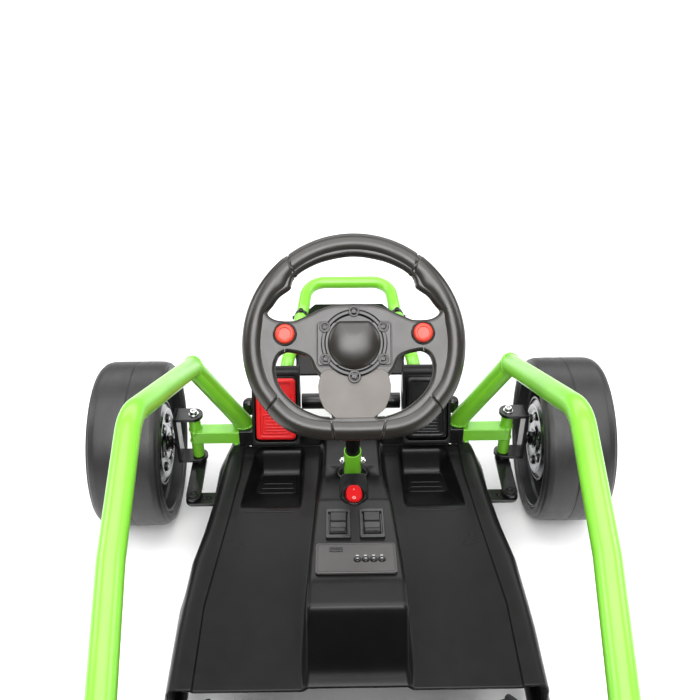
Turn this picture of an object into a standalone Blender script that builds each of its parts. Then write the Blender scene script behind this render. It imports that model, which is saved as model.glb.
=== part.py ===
"""Electric drift kart for a child: tube frame, moulded floor pan, steering
linkage, four slick wheels.  Metres, +Z up, +Y is the way it drives, +X is the
driver's right.  The origin is on the ground under the middle of the kart."""

import math

import bmesh
import bpy
from mathutils import Matrix, Vector

# Main sizes
GAP = 0.0003
PIN_PLAY = 0.0003
TYRE_R = 0.1135
FRONT_AXLE_Y = 0.2595
REAR_AXLE_Y = -0.414
AXLE_Z = TYRE_R
DECK_BEHIND = 0.0095
DECK_Y = FRONT_AXLE_Y - DECK_BEHIND

# Wheels
TYRE_WIDTH = 0.095
TYRE_BORE_R = 0.0968
TYRE_OUTER_X = 0.342
TYRE_INNER_X = TYRE_OUTER_X - TYRE_WIDTH
WHEEL_SEGMENTS = 36
HUB_SEGMENTS = 24
RIM_R = TYRE_BORE_R - GAP
RIM_WEB = 0.068
HUB_R = 0.0555
STUB_R = 0.005
STUB_END_X = TYRE_OUTER_X - 0.008
REAR_ROD_R = 0.006

# Front beam, kingpins and knuckles
BEAM_SIDE = 0.020
BEAM_RISE = 0.0145
BEAM_Z = AXLE_Z + BEAM_RISE
BEAM_TOP = BEAM_Z + BEAM_SIDE / 2
KINGPIN_X = 0.2155
KINGPIN_R = 0.004
BUSH_R = 0.0082
BRACKET_PLATE = 0.005
BRACKET_WIDTH = 0.025
BRACKET_LOW_Z = BEAM_Z - 0.0425
BRACKET_HIGH_Z = BEAM_Z + 0.0315
BRACKET_WALL_X = KINGPIN_X + 0.0225
ARM_LENGTH = 0.070
ARM_WIDTH = 0.020
ARM_DROP = 0.010
ARM_LOW_Z = BRACKET_LOW_Z - ARM_DROP

# Tie rod
ROD_TOP = ARM_LOW_Z - 0.0022
ROD_THICK = 0.005
ROD_WIDTH = 0.022
ROD_Y = FRONT_AXLE_Y - ARM_LENGTH

# Steering wheel's own plane, swivel behind it and the column below
HUB_POINT = Vector((0.0, DECK_Y - 0.140, 0.384))
WHEEL_TILT = math.radians(39.0)
WHEEL_OUT = Vector((0.0, -math.cos(WHEEL_TILT), math.sin(WHEEL_TILT)))
SWIVEL_DEPTH = 0.034
SWIVEL_R = 0.0155
SWIVEL_POINT = HUB_POINT - WHEEL_OUT * SWIVEL_DEPTH
CUP_R = 0.0215
COLUMN_FOOT = Vector((0.0, DECK_Y - 0.0703, ARM_LOW_Z + 0.0188))
COLUMN_LENGTH = (SWIVEL_POINT - COLUMN_FOOT).length
COLUMN_UP = (SWIVEL_POINT - COLUMN_FOOT).normalized()
SHAFT_R = 0.0090
SLEEVE_R = 0.0111
SLEEVE_BORE_R = SHAFT_R + 0.0006
SLEEVE_LENGTH = 0.0853
SLEEVE_BOLT_DROP = 0.021
CRANK_RADIUS = 0.024
CRANK_PIN_R = 0.004
CRANK_THICK = 0.005
SLOT_PLAY = 0.0016

# Steering wheel
RIM_OUT_R = 0.1205
RIM_TUBE_R = 0.0125
RIM_FLAT_RISE = 0.0165
WHEEL_FLAT = RIM_OUT_R - RIM_FLAT_RISE
SPOKE_THICK = 0.012
HUB_BACK = 0.016
HUB_FRONT = 0.010
BUTTON_R = 0.0106
BUTTON_X = RIM_OUT_R - 0.0467
BUTTON_Y = 0.0104

# Frame tubes
BAR_R = 0.0127
HOOP_R = 0.0095
HOOP_LEG_LOW = (DECK_Y + 0.0775, 0.192)
HOOP_LEG_HIGH = (DECK_Y + 0.215, 0.200)
NOSE_SLOPE = math.atan2(HOOP_LEG_HIGH[1] - HOOP_LEG_LOW[1], HOOP_LEG_HIGH[0] - HOOP_LEG_LOW[0])
NOSE_AHEAD = 0.028
RAIL_Z = 0.050
RAIL_TOP = RAIL_Z + BAR_R
RAIL_X = 0.200
REAR_TUBE_BEHIND = 0.0795
REAR_TUBE_Y = REAR_AXLE_Y - REAR_TUBE_BEHIND
RAIL_END_Y = REAR_TUBE_Y - BAR_R - 0.003
TUBE_SEGMENTS = 12

# Floor pan
PAN_WALL = 0.003
WELL_FLOOR = 0.083
PAN_LEVEL = 0.110
PAN_SKIRT = 0.084

# Pedals
PEDAL_X = 0.1015
PEDAL_BOX_WIDTH = 0.065
PEDAL_RIM = 0.006
PEDAL_WIDTH = PEDAL_BOX_WIDTH - 2 * PEDAL_RIM
PEDAL_LEAN = math.radians(60.0)
PEDAL_BOX_LENGTH = 0.101

# Black sleeves on the beam, beside the pedal boxes
SADDLE_X = PEDAL_X + PEDAL_BOX_WIDTH / 2 + 0.0008
SADDLE_WIDTH = 0.020
SADDLE_TOP = BEAM_TOP + 0.004

# Seat and battery
SEAT_WALL = 0.005
SEAT_CROSS_TOP = 0.093

FINISHES = {
    "lime_paint": ((0.27, 0.80, 0.05, 1.0), 0.0, 0.32),
    "black_paint": ((0.020, 0.020, 0.022, 1.0), 0.0, 0.42),
    "pan_plastic": ((0.030, 0.030, 0.032, 1.0), 0.0, 0.50),
    "dark_plastic": ((0.012, 0.012, 0.013, 1.0), 0.0, 0.35),
    "seat_plastic": ((0.025, 0.025, 0.027, 1.0), 0.0, 0.45),
    "grey_plastic": ((0.16, 0.16, 0.17, 1.0), 0.0, 0.45),
    "red_plastic": ((0.72, 0.02, 0.02, 1.0), 0.0, 0.30),
    "tyre_rubber": ((0.018, 0.018, 0.019, 1.0), 0.0, 0.62),
    "rim_paint": ((0.075, 0.078, 0.082, 1.0), 0.4, 0.38),
    "chrome": ((0.80, 0.80, 0.82, 1.0), 1.0, 0.12),
    "steel": ((0.55, 0.55, 0.57, 1.0), 1.0, 0.30),
}


def material(name):
    made = bpy.data.materials.get(name)
    if made:
        return made
    colour, metallic, roughness = FINISHES[name]
    made = bpy.data.materials.new(name)
    made.use_nodes = True
    shader = made.node_tree.nodes["Principled BSDF"]
    shader.inputs["Base Color"].default_value = colour
    shader.inputs["Metallic"].default_value = metallic
    shader.inputs["Roughness"].default_value = roughness
    return made


def mesh_object(name, verts, faces, finish, origin=(0, 0, 0), closed=True):
    """One object from world-space points, its origin moved to a joint."""
    origin = Vector(origin)
    mesh = bpy.data.meshes.new(name)
    mesh.from_pydata([Vector(v) - origin for v in verts], [], faces)
    if closed:
        bm = bmesh.new()
        bm.from_mesh(mesh)
        bmesh.ops.recalc_face_normals(bm, faces=bm.faces)
        bm.to_mesh(mesh)
        bm.free()
    made = bpy.data.objects.new(name, mesh)
    made.location = origin
    made.data.materials.append(material(finish))
    bpy.context.scene.collection.objects.link(made)
    return made


def combine(base, others, operation):
    for other in others:
        step = base.modifiers.new(operation.lower(), "BOOLEAN")
        step.operation = operation
        step.solver = "EXACT"
        step.object = other
        other.hide_render = True
        other.display_type = "WIRE"
    return base


def fuse(base, *others):
    return combine(base, others, "UNION")


def cut(base, *others):
    return combine(base, others, "DIFFERENCE")


def frame_of(origin, x_axis, z_axis):
    """Matrix with its Z along z_axis and its X as near x_axis as can be."""
    z = Vector(z_axis).normalized()
    y = z.cross(Vector(x_axis)).normalized()
    x = y.cross(z)
    matrix = Matrix((x, y, z)).transposed().to_4x4()
    matrix.translation = Vector(origin)
    return matrix


def prism(name, outline, low, high, finish, matrix=None, origin=(0, 0, 0)):
    """A flat outline drawn out from low to high along the matrix's Z."""
    matrix = matrix or Matrix()
    count = len(outline)
    verts = [matrix @ Vector((x, y, low)) for x, y in outline]
    verts += [matrix @ Vector((x, y, high)) for x, y in outline]
    faces = [list(range(count)), list(range(count, 2 * count))]
    for i in range(count):
        j = (i + 1) % count
        faces.append([i, j, count + j, count + i])
    return mesh_object(name, verts, faces, finish, origin)


def rounded_rectangle(width, height, radius, steps=4, centre=(0.0, 0.0)):
    points = []
    corners = ((1, 1, 0), (-1, 1, 90), (-1, -1, 180), (1, -1, 270))
    for sx, sy, start in corners:
        cx = centre[0] + sx * (width / 2 - radius)
        cy = centre[1] + sy * (height / 2 - radius)
        for i in range(steps + 1):
            angle = math.radians(start + 90 * i / steps)
            points.append((cx + radius * math.cos(angle), cy + radius * math.sin(angle)))
    return points


def slot_outline(ends, radius, steps=6):
    """The outline of a bar with round ends between two points."""
    (ax, ay), (bx, by) = ends
    heading = math.atan2(by - ay, bx - ax)
    points = []
    for (cx, cy), start in (((bx, by), heading - math.pi / 2), ((ax, ay), heading + math.pi / 2)):
        for i in range(steps + 1):
            angle = start + math.pi * i / steps
            points.append((cx + radius * math.cos(angle), cy + radius * math.sin(angle)))
    return points


def circle_outline(radius, segments, centre=(0.0, 0.0)):
    turn = 2 * math.pi / segments
    return [
        (centre[0] + radius * math.cos(turn * i), centre[1] + radius * math.sin(turn * i))
        for i in range(segments)
    ]


def block(name, low, high, finish, origin=(0, 0, 0)):
    outline = [(low[0], low[1]), (high[0], low[1]), (high[0], high[1]), (low[0], high[1])]
    return prism(name, outline, low[2], high[2], finish, None, origin)


def rod(name, start, end, radius, finish, segments=16, origin=(0, 0, 0)):
    start, end = Vector(start), Vector(end)
    along = end - start
    side = Vector((1, 0, 0)) if abs(along.normalized().x) < 0.9 else Vector((0, 1, 0))
    matrix = frame_of(start, side, along)
    outline = circle_outline(radius, segments)
    return prism(name, outline, 0.0, along.length, finish, matrix, origin)


def lathe(name, profile, matrix, segments, finish, origin=(0, 0, 0)):
    """Turn a closed profile of (radius, height) about the matrix's Z."""
    verts = []
    turn = 2 * math.pi / segments
    rows = len(profile)
    for i in range(segments):
        c, s = math.cos(turn * i), math.sin(turn * i)
        verts += [matrix @ Vector((r * c, r * s, h)) for r, h in profile]
    faces = []
    for i in range(segments):
        j = (i + 1) % segments
        for k in range(rows):
            m = (k + 1) % rows
            faces.append([i * rows + k, j * rows + k, j * rows + m, i * rows + m])
    return mesh_object(name, verts, faces, finish, origin)


def turned(name, profile, matrix, segments, finish, origin=(0, 0, 0)):
    """A solid turned from a profile whose two ends lie on the axis."""
    turn = 2 * math.pi / segments
    inner = profile[1:-1]
    rows = len(inner)
    verts = []
    for i in range(segments):
        c, s = math.cos(turn * i), math.sin(turn * i)
        verts += [matrix @ Vector((r * c, r * s, h)) for r, h in inner]
    first = len(verts)
    verts.append(matrix @ Vector((0, 0, profile[0][1])))
    verts.append(matrix @ Vector((0, 0, profile[-1][1])))
    faces = []
    for i in range(segments):
        j = (i + 1) % segments
        faces.append([first, i * rows, j * rows])
        faces.append([first + 1, j * rows + rows - 1, i * rows + rows - 1])
        for k in range(rows - 1):
            faces.append([i * rows + k, j * rows + k, j * rows + k + 1, i * rows + k + 1])
    return mesh_object(name, verts, faces, finish, origin)


def bent_path(points, bend_radii, steps=4):
    """Points of a bent line; each inner corner has a radius, 0 for a mitre."""
    points = [Vector(p) for p in points]
    path = [points[0]]
    for bend_radius, before, corner, after in zip(bend_radii, points, points[1:], points[2:]):
        to_before = (before - corner).normalized()
        to_after = (after - corner).normalized()
        half = to_before.angle(to_after) / 2
        if half > math.radians(89.0) or not bend_radius:
            path.append(corner)
            continue
        reach = min(
            bend_radius / math.tan(half),
            0.49 * (before - corner).length,
            0.49 * (after - corner).length,
        )
        radius = reach * math.tan(half)
        middle = (to_before + to_after).normalized()
        centre = corner + middle * (radius / math.sin(half))
        start = corner + to_before * reach - centre
        end = corner + to_after * reach - centre
        sweep = start.angle(end)
        axis = start.cross(end).normalized()
        for i in range(steps + 1):
            path.append(centre + Matrix.Rotation(sweep * i / steps, 3, axis) @ start)
    path.append(points[-1])
    return path


def swept_tube(name, path, radius, finish, flat_ends=(None, None), segments=TUBE_SEGMENTS,
               origin=(0, 0, 0)):
    """A round tube along a path, mitred at each corner; an end may be cut level."""
    path = [Vector(p) for p in path]
    legs = [(b - a).normalized() for a, b in zip(path, path[1:])]
    side = legs[0].orthogonal().normalized()
    rings = []
    for i, point in enumerate(path):
        along = legs[max(i - 1, 0)]
        ahead = legs[min(i, len(legs) - 1)]
        side = (side - along * side.dot(along)).normalized()
        up = along.cross(side)
        plane = (along + ahead).normalized()
        ring = []
        for k in range(segments):
            angle = 2 * math.pi * k / segments
            out = radius * (math.cos(angle) * side + math.sin(angle) * up)
            ring.append(point + out - along * (out.dot(plane) / along.dot(plane)))
        rings.append(ring)
    for which, height in ((0, flat_ends[0]), (-1, flat_ends[1])):
        if height is None:
            continue
        along = legs[which]
        rings[which] = [p + along * ((height - p.z) / along.z) for p in rings[which]]
    verts = [p for ring in rings for p in ring]
    faces = [list(range(segments)), [len(verts) - segments + k for k in range(segments)]]
    for i in range(len(rings) - 1):
        for k in range(segments):
            m = (k + 1) % segments
            a, b = i * segments, (i + 1) * segments
            faces.append([a + k, a + m, b + m, b + k])
    return mesh_object(name, verts, faces, finish, origin)


def ring_tube(name, path, radii, normal, finish, segments=12, origin=(0, 0, 0)):
    """A closed loop of oval section; radii are in the plane and across it."""
    count = len(path)
    normal = Vector(normal)
    verts = []
    for i, point in enumerate(path):
        along = (path[(i + 1) % count] - path[i - 1]).normalized()
        side = along.cross(normal).normalized()
        for k in range(segments):
            angle = 2 * math.pi * k / segments
            verts.append(
                point + radii[0] * math.cos(angle) * side + radii[1] * math.sin(angle) * normal
            )
    faces = []
    for i in range(count):
        j = (i + 1) % count
        for k in range(segments):
            m = (k + 1) % segments
            faces.append(
                [i * segments + k, i * segments + m, j * segments + m, j * segments + k]
            )
    return mesh_object(name, verts, faces, finish, origin)


def moulded_shell(name, rows, thickness, finish):
    """A thin wall under rows of points, each row from left to right."""
    columns = len(rows[0])
    verts = [p for row in rows for p in row]
    faces = []
    for i in range(len(rows) - 1):
        for k in range(columns - 1):
            a, b = i * columns + k, (i + 1) * columns + k
            faces.append([a, b, b + 1, a + 1])
    shell = mesh_object(name, verts, faces, finish, closed=False)
    wall = shell.modifiers.new("wall", "SOLIDIFY")
    wall.thickness = thickness
    wall.offset = -1.0
    wall.use_even_offset = True
    wall.use_quality_normals = True
    return shell


def from_deck(y, z, x=0.0):
    """A point given by its distance ahead of the deck's front line."""
    return Vector((x, DECK_Y + y, z))


def front_beam():
    half = KINGPIN_X + BUSH_R * 0.5
    y, side = FRONT_AXLE_Y, BEAM_SIDE / 2
    beam = block("front_beam", (-half, y - side, BEAM_Z - side), (half, y + side, BEAM_TOP),
                 "lime_paint")
    for sign in (-1, 1):
        low = (sign * KINGPIN_X, y, BRACKET_LOW_Z + BRACKET_PLATE + 2 * GAP)
        high = (sign * KINGPIN_X, y, BRACKET_HIGH_Z - 2 * GAP)
        fuse(beam, rod("bush_part", low, high, BUSH_R, "lime_paint"))
    for sign in (-1, 1):
        low = (sign * KINGPIN_X, y, BRACKET_LOW_Z - 0.01)
        high = (sign * KINGPIN_X, y, BRACKET_HIGH_Z + 0.01)
        cut(beam, rod("bush_bore", low, high, KINGPIN_R + PIN_PLAY, "lime_paint"))


def knuckles():
    """A C-shaped bracket on each kingpin, with the stub axle and the steering arm."""
    y = FRONT_AXLE_Y
    half = BRACKET_WIDTH / 2
    wall_high = BRACKET_HIGH_Z + BRACKET_PLATE
    for side, sign in (("left", -1), ("right", 1)):
        pivot = (sign * KINGPIN_X, y, AXLE_Z)
        wall_x = sorted((sign * BRACKET_WALL_X, sign * (BRACKET_WALL_X + BRACKET_PLATE)))
        wall = block(f"knuckle_{side}", (wall_x[0], y - half, BRACKET_LOW_Z),
                     (wall_x[1], y + half, wall_high), "black_paint", pivot)
        inner = (sign * KINGPIN_X, y)
        outer = (sign * (BRACKET_WALL_X - half + 0.003), y)
        for low in (BRACKET_LOW_Z, BRACKET_HIGH_Z):
            outline = slot_outline((inner, outer), half)
            fuse(wall, prism("plate_part", outline, low, low + BRACKET_PLATE, "black_paint"))
            low_x, high_x = sorted((inner[0], sign * (BRACKET_WALL_X + 0.003)))
            fuse(wall, block("plate_part", (low_x, y - half, low),
                             (high_x, y + half, low + BRACKET_PLATE), "black_paint"))
        fuse(wall, rod("spacer_part", (inner[0], y, ARM_LOW_Z + 0.001),
                       (inner[0], y, BRACKET_LOW_Z + 0.001), BUSH_R, "black_paint"))
        arm = slot_outline((inner, (inner[0], ROD_Y)), ARM_WIDTH / 2)
        fuse(wall, prism("arm_part", arm, ARM_LOW_Z, ARM_LOW_Z + BRACKET_PLATE,
                         "black_paint"))
        pin_top = (inner[0], ROD_Y, ARM_LOW_Z + 0.001)
        pin_end = (inner[0], ROD_Y, ROD_TOP - ROD_THICK - 0.005)
        fuse(wall, rod("pin_part", pin_top, pin_end, KINGPIN_R, "black_paint", 12))
        fuse(wall, rod("stub_part", (sign * (BRACKET_WALL_X + 0.002), y, AXLE_Z),
                       (sign * STUB_END_X, y, AXLE_Z), STUB_R, "black_paint"))
        cut(wall, rod("pin_bore", (inner[0], y, ARM_LOW_Z - 0.01),
                      (inner[0], y, wall_high + 0.01), KINGPIN_R + PIN_PLAY, "black_paint"))
        head = wall_high + GAP
        foot = ARM_LOW_Z - GAP
        profile = [
            (0.0, head + 0.0045),
            (0.0035, head + 0.0042),
            (0.0062, head + 0.0022),
            (0.0065, head),
            (KINGPIN_R, head),
            (KINGPIN_R, foot),
            (0.0068, foot),
            (0.0068, foot - 0.006),
            (0.0, foot - 0.006),
        ]
        turned(f"kingpin_{side}", profile, Matrix.Translation((inner[0], y, 0.0)), 16, "steel",
               pivot)


def tie_rod():
    """A flat bar between the arms, with a slotted tongue back to the crank's pin."""
    low, high = ROD_TOP - ROD_THICK, ROD_TOP
    pivot = (-KINGPIN_X, ROD_Y, ROD_TOP)
    ends = ((-KINGPIN_X, ROD_Y), (KINGPIN_X, ROD_Y))
    bar = prism("tie_rod", slot_outline(ends, ROD_WIDTH / 2), low, high, "black_paint",
                None, pivot)
    pin_y = crank_pin(ROD_TOP - ROD_THICK / 2).y
    half = CRANK_PIN_R + SLOT_PLAY
    tongue = slot_outline(((0.0, ROD_Y), (0.0, pin_y - 0.002)), half + 0.011)
    fuse(bar, prism("tongue_part", tongue, low, high, "black_paint"))
    for sign in (-1, 1):
        cut(bar, rod("pin_bore", (sign * KINGPIN_X, ROD_Y, low - 0.01),
                     (sign * KINGPIN_X, ROD_Y, high + 0.01), KINGPIN_R + PIN_PLAY,
                     "black_paint"))
    slot = slot_outline(((0.0, pin_y - 0.003), (0.0, pin_y + 0.009)), half)
    cut(bar, prism("slot_cut", slot, low - 0.01, high + 0.01, "black_paint"))


def column_frame(distance):
    """Frame on the column this far below the swivel, Z up the column."""
    return frame_of(SWIVEL_POINT - COLUMN_UP * distance, (1, 0, 0), COLUMN_UP)


def column_at(height):
    """How far below the swivel the column passes a height."""
    return (SWIVEL_POINT.z - height) / COLUMN_UP.z


def crank_pin(height):
    """The middle of the crank's pin where it passes a height."""
    base = column_frame(COLUMN_LENGTH + GAP + CRANK_THICK)
    foot = base @ Vector((0.0, -CRANK_RADIUS, 0.0))
    return foot + COLUMN_UP * ((height - foot.z) / COLUMN_UP.z)


def column():
    """Shaft with a ball at its top, and the green sleeve bolted over its foot."""
    top = column_frame(0.0)
    ball = [
        (SWIVEL_R * math.sin(turn), SWIVEL_R * math.cos(turn))
        for turn in (math.radians(15 * i) for i in range(9))
    ]
    neck = -math.sqrt(SWIVEL_R ** 2 - SHAFT_R ** 2)
    profile = ball + [(SHAFT_R, neck), (SHAFT_R, 0.004 - COLUMN_LENGTH),
                      (0.0, 0.004 - COLUMN_LENGTH)]
    shaft = turned("steering_shaft", profile, top, 20, "black_paint", SWIVEL_POINT)
    mouth = SLEEVE_LENGTH - COLUMN_LENGTH
    ring = [
        (SLEEVE_R, -COLUMN_LENGTH),
        (SLEEVE_R, mouth),
        (SLEEVE_BORE_R, mouth),
        (SLEEVE_BORE_R, 0.0035 - COLUMN_LENGTH),
        (0.004, 0.0035 - COLUMN_LENGTH),
        (0.004, -COLUMN_LENGTH),
    ]
    sleeve = lathe("column_sleeve", ring, top, 20, "lime_paint", SWIVEL_POINT)
    centre = top @ Vector((0.0, 0.0, mouth - SLEEVE_BOLT_DROP))
    across = Vector((3 * SLEEVE_R, 0.0, 0.0))
    for target in (shaft, sleeve):
        cut(target, rod("bolt_bore", centre - across, centre + across, 0.0033, "steel", 12))
    reach = SLEEVE_R + GAP
    profile = [
        (0.0, -reach - 0.004),
        (0.0052, -reach - 0.004),
        (0.0052, -reach),
        (0.003, -reach),
        (0.003, reach),
        (0.0052, reach),
        (0.0052, reach + 0.004),
        (0.0, reach + 0.004),
    ]
    turned("column_bolt", profile, frame_of(centre, (0, 1, 0), (1, 0, 0)), 12, "steel",
           SWIVEL_POINT)


def crank():
    """The plate under the sleeve whose pin works in the tie rod's slot."""
    base = column_frame(COLUMN_LENGTH + GAP + CRANK_THICK)
    outline = slot_outline(((0.0, 0.0), (0.0, -CRANK_RADIUS)), 0.0095)
    plate = prism("steering_crank", outline, 0.0, CRANK_THICK, "black_paint", base,
                  SWIVEL_POINT)
    foot = base @ Vector((0.0, -CRANK_RADIUS, 0.001))
    fuse(plate, rod("pin_part", foot, crank_pin(ROD_TOP - ROD_THICK - 0.002), CRANK_PIN_R,
                    "black_paint", 12))


def wheel_path(radius, flat, steps=36):
    """The D-shaped line of the steering wheel's rim in its own plane."""
    open_angle = math.acos(flat / radius)
    points = []
    start = -math.pi / 2 + open_angle
    end = 3 * math.pi / 2 - open_angle
    for i in range(steps + 1):
        angle = start + (end - start) * i / steps
        points.append(Vector((radius * math.cos(angle), radius * math.sin(angle), 0.0)))
    chord = [points[-1].lerp(points[0], t) for t in (0.2, 0.4, 0.6, 0.8)]
    loop = points + chord
    for _ in range(3):
        count = len(loop)
        loop = [
            (loop[i - 1] + loop[i] * 2 + loop[(i + 1) % count]) / 4
            if loop[i].y < -0.5 * radius else loop[i]
            for i in range(count)
        ]
    return loop


UPPER_WINDOW = (
    # across and up from the hub, as parts of the rim's radius
    (0.0, 0.354), (0.164, 0.346), (0.282, 0.315), (0.379, 0.268), (0.476, 0.226),
    (0.539, 0.205), (0.661, 0.208), (0.729, 0.231), (0.766, 0.268), (0.763, 0.305),
    (0.676, 0.417), (0.571, 0.491), (0.552, 0.543), (0.524, 0.605), (0.42, 0.68),
    (0.25, 0.75), (0.0, 0.789),
)
LOWER_WINDOW = (
    (0.357, -0.231), (0.417, -0.122), (0.573, -0.075), (0.642, -0.090), (0.682, -0.134),
    (0.702, -0.223), (0.676, -0.349), (0.603, -0.461), (0.476, -0.569), (0.320, -0.638),
    (0.201, -0.656), (0.268, -0.550), (0.320, -0.389), (0.305, -0.308),
)


def steering_wheel():
    plane = frame_of(HUB_POINT, (1, 0, 0), WHEEL_OUT)
    path = [plane @ p for p in wheel_path(RIM_OUT_R - RIM_TUBE_R, WHEEL_FLAT - RIM_TUBE_R)]
    wheel = ring_tube("steering_wheel", path, (RIM_TUBE_R, RIM_TUBE_R), WHEEL_OUT,
                      "dark_plastic", 10, HUB_POINT)
    core = wheel_path(RIM_OUT_R - RIM_TUBE_R, WHEEL_FLAT - RIM_TUBE_R)
    half = SPOKE_THICK / 2
    plate = prism("spoke_part", [(p.x, p.y) for p in core], -half, half, "dark_plastic", plane)
    upper = [(x * RIM_OUT_R, y * RIM_OUT_R) for x, y in UPPER_WINDOW]
    upper += [(-x, y) for x, y in reversed(upper[1:-1])]
    lower = [(x * RIM_OUT_R, y * RIM_OUT_R) for x, y in LOWER_WINDOW]
    for shape in (upper, lower, [(-x, y) for x, y in reversed(lower)]):
        cut(plate, prism("window_cut", shape, -2 * half, 2 * half, "dark_plastic", plane))
    fuse(wheel, plate)
    ring = prism("hub_part", circle_outline(0.038, 28), -HUB_BACK, HUB_FRONT - 0.002,
                 "dark_plastic", plane)
    fuse(wheel, ring)
    square = rounded_rectangle(0.079, 0.047, 0.004, 3)
    fuse(wheel, prism("hub_part", square, -HUB_BACK, HUB_FRONT, "dark_plastic", plane))
    cavity_r = SWIVEL_R + 2 * GAP
    back = SWIVEL_DEPTH - HUB_BACK + 0.0015
    cup = [(0.0, back), (CUP_R, back), (CUP_R, 0.0)]
    cup += [
        (cavity_r * math.cos(turn), cavity_r * math.sin(turn))
        for turn in (math.radians(15 * i) for i in range(6))
    ]
    cup += [(0.0, cavity_r)]
    swivel = frame_of(SWIVEL_POINT, (1, 0, 0), WHEEL_OUT)
    fuse(wheel, turned("cup_part", cup, swivel, 20, "dark_plastic"))
    hub_cap(plane)
    for side, sign in (("left", -1), ("right", 1)):
        matrix = plane @ Matrix.Translation((sign * BUTTON_X, BUTTON_Y, 0.0))
        low = half + GAP
        profile = [(0.0, low), (BUTTON_R, low), (BUTTON_R, low + 0.003),
                   (BUTTON_R - 0.0015, low + 0.0045), (0.0, low + 0.0045)]
        turned(f"horn_button_{side}", profile, matrix, 20, "red_plastic", HUB_POINT)


def hub_cap(plane):
    """The domed horn pad, cut flat along its top edge."""
    low = HUB_FRONT + GAP
    profile = [
        (0.0, low),
        (0.0282, low),
        (0.0282, low + 0.002),
        (0.024, low + 0.0055),
        (0.015, low + 0.0085),
        (0.0, low + 0.0095),
    ]
    cap = turned("hub_cap", profile, plane, 28, "dark_plastic", HUB_POINT)
    trim = rounded_rectangle(0.08, 0.02, 0.001, 1, (0.0, 0.0333))
    cut(cap, prism("trim_cut", trim, 0.0, 2 * low, "dark_plastic", plane))


def side_bars():
    """Each side tube: up from the floor rail, forward, and down to the beam."""
    for side, sign in (("left", -1), ("right", 1)):
        foot_x = sign * (SADDLE_X + 0.0135)
        corners = [
            Vector((sign * RAIL_X, REAR_AXLE_Y + 0.085, RAIL_TOP)),
            Vector((sign * RAIL_X, REAR_AXLE_Y + 0.085, 0.272)),
            from_deck(-0.394, 0.335, sign * 0.2155),
            from_deck(-0.242, 0.373, sign * 0.2225),
            from_deck(-0.020, 0.266, sign * 0.2025),
            Vector((foot_x, FRONT_AXLE_Y + 0.006, SADDLE_TOP)),
        ]
        path = bent_path(corners, (0.060, 0.060, 0.060, 0.0))
        swept_tube(f"side_bar_{side}", path, BAR_R, "lime_paint",
                   (RAIL_TOP + GAP, SADDLE_TOP + GAP))


def beam_saddles():
    """Square black sleeves over the beam that carry the side tubes' feet."""
    y = FRONT_AXLE_Y
    grow = BEAM_SIDE / 2 + GAP
    for side, sign in (("left", -1), ("right", 1)):
        low_x, high_x = sorted((sign * SADDLE_X, sign * (SADDLE_X + SADDLE_WIDTH)))
        saddle = block(f"beam_saddle_{side}", (low_x, y - grow - 0.003, BEAM_Z - 0.006),
                       (high_x, y + grow + 0.008, SADDLE_TOP), "black_paint")
        cut(saddle, block("beam_cut", (low_x - 0.01, y - grow, BEAM_Z - 0.03),
                          (high_x + 0.01, y + grow, BEAM_TOP + GAP), "black_paint"))


def floor_frame():
    for side, sign in (("left", -1), ("right", 1)):
        corners = [
            from_deck(0.095, RAIL_Z, sign * 0.160),
            from_deck(0.015, RAIL_Z, sign * 0.178),
            from_deck(-0.057, RAIL_Z, sign * 0.180),
            from_deck(-0.230, RAIL_Z, sign * RAIL_X),
            Vector((sign * RAIL_X, RAIL_END_Y, RAIL_Z)),
        ]
        path = bent_path(corners, (0.080, 0.080, 0.080))
        swept_tube(f"floor_rail_{side}", path, BAR_R, "black_paint")
    rows = (
        # name, y, reach
        ("front_cross_tube", HOOP_LEG_LOW[0], 0.148),
        ("battery_cross_tube", REAR_TUBE_Y + 0.048, RAIL_X - BAR_R - GAP),
        ("rear_cross_tube", REAR_TUBE_Y, RAIL_X - BAR_R - GAP),
    )
    for name, y, reach in rows:
        rod(name, (-reach, y, RAIL_Z), (reach, y, RAIL_Z), BAR_R, "black_paint", TUBE_SEGMENTS)
    rows = (
        # name, y middle, half width, half length, top
        ("floor_cross_mid", DECK_Y - 0.250, 0.199, 0.010, PAN_SKIRT - 0.0025),
        ("seat_cross_front", REAR_AXLE_Y + 0.179, 0.205, 0.015, SEAT_CROSS_TOP),
        ("seat_cross_rear", REAR_AXLE_Y + 0.124, 0.205, 0.015, SEAT_CROSS_TOP),
    )
    for name, y, half_x, half_y, top in rows:
        bar = block(name, (-half_x, y - half_y, RAIL_TOP + GAP), (half_x, y + half_y, top),
                    "black_paint")
        if name == "floor_cross_mid":
            high = PAN_LEVEL - PAN_WALL - GAP
            fuse(bar, block("rise_part", (-0.172, y - half_y + 0.002, RAIL_TOP + 0.01),
                            (0.172, y + half_y - 0.002, high), "black_paint"))


def column_stand():
    """Front floor cross bar with the ring that guides the column."""
    ring_z = BEAM_Z - 0.018
    ring_frame = column_frame(column_at(ring_z))
    back = ring_frame.translation.y
    y = DECK_Y - 0.026
    base = block("column_stand", (-0.180, y - 0.009, RAIL_TOP + GAP),
                 (0.180, y + 0.009, WELL_FLOOR - PAN_WALL - GAP), "black_paint")
    fuse(base, block("post_part", (-0.014, y - 0.006, RAIL_TOP + 0.005),
                     (0.014, y + 0.006, ring_z + 0.006), "black_paint"))
    fuse(base, block("bridge_part", (-0.011, back + SLEEVE_R + 0.002, ring_z - 0.006),
                     (0.011, y, ring_z + 0.006), "black_paint"))
    fuse(base, prism("ring_part", circle_outline(SLEEVE_R + 0.006, 20), -0.0065, 0.0065,
                     "black_paint", ring_frame))
    cut(base, prism("ring_bore", circle_outline(SLEEVE_R + 0.0004, 20), -0.03, 0.03,
                    "black_paint", ring_frame))


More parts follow.
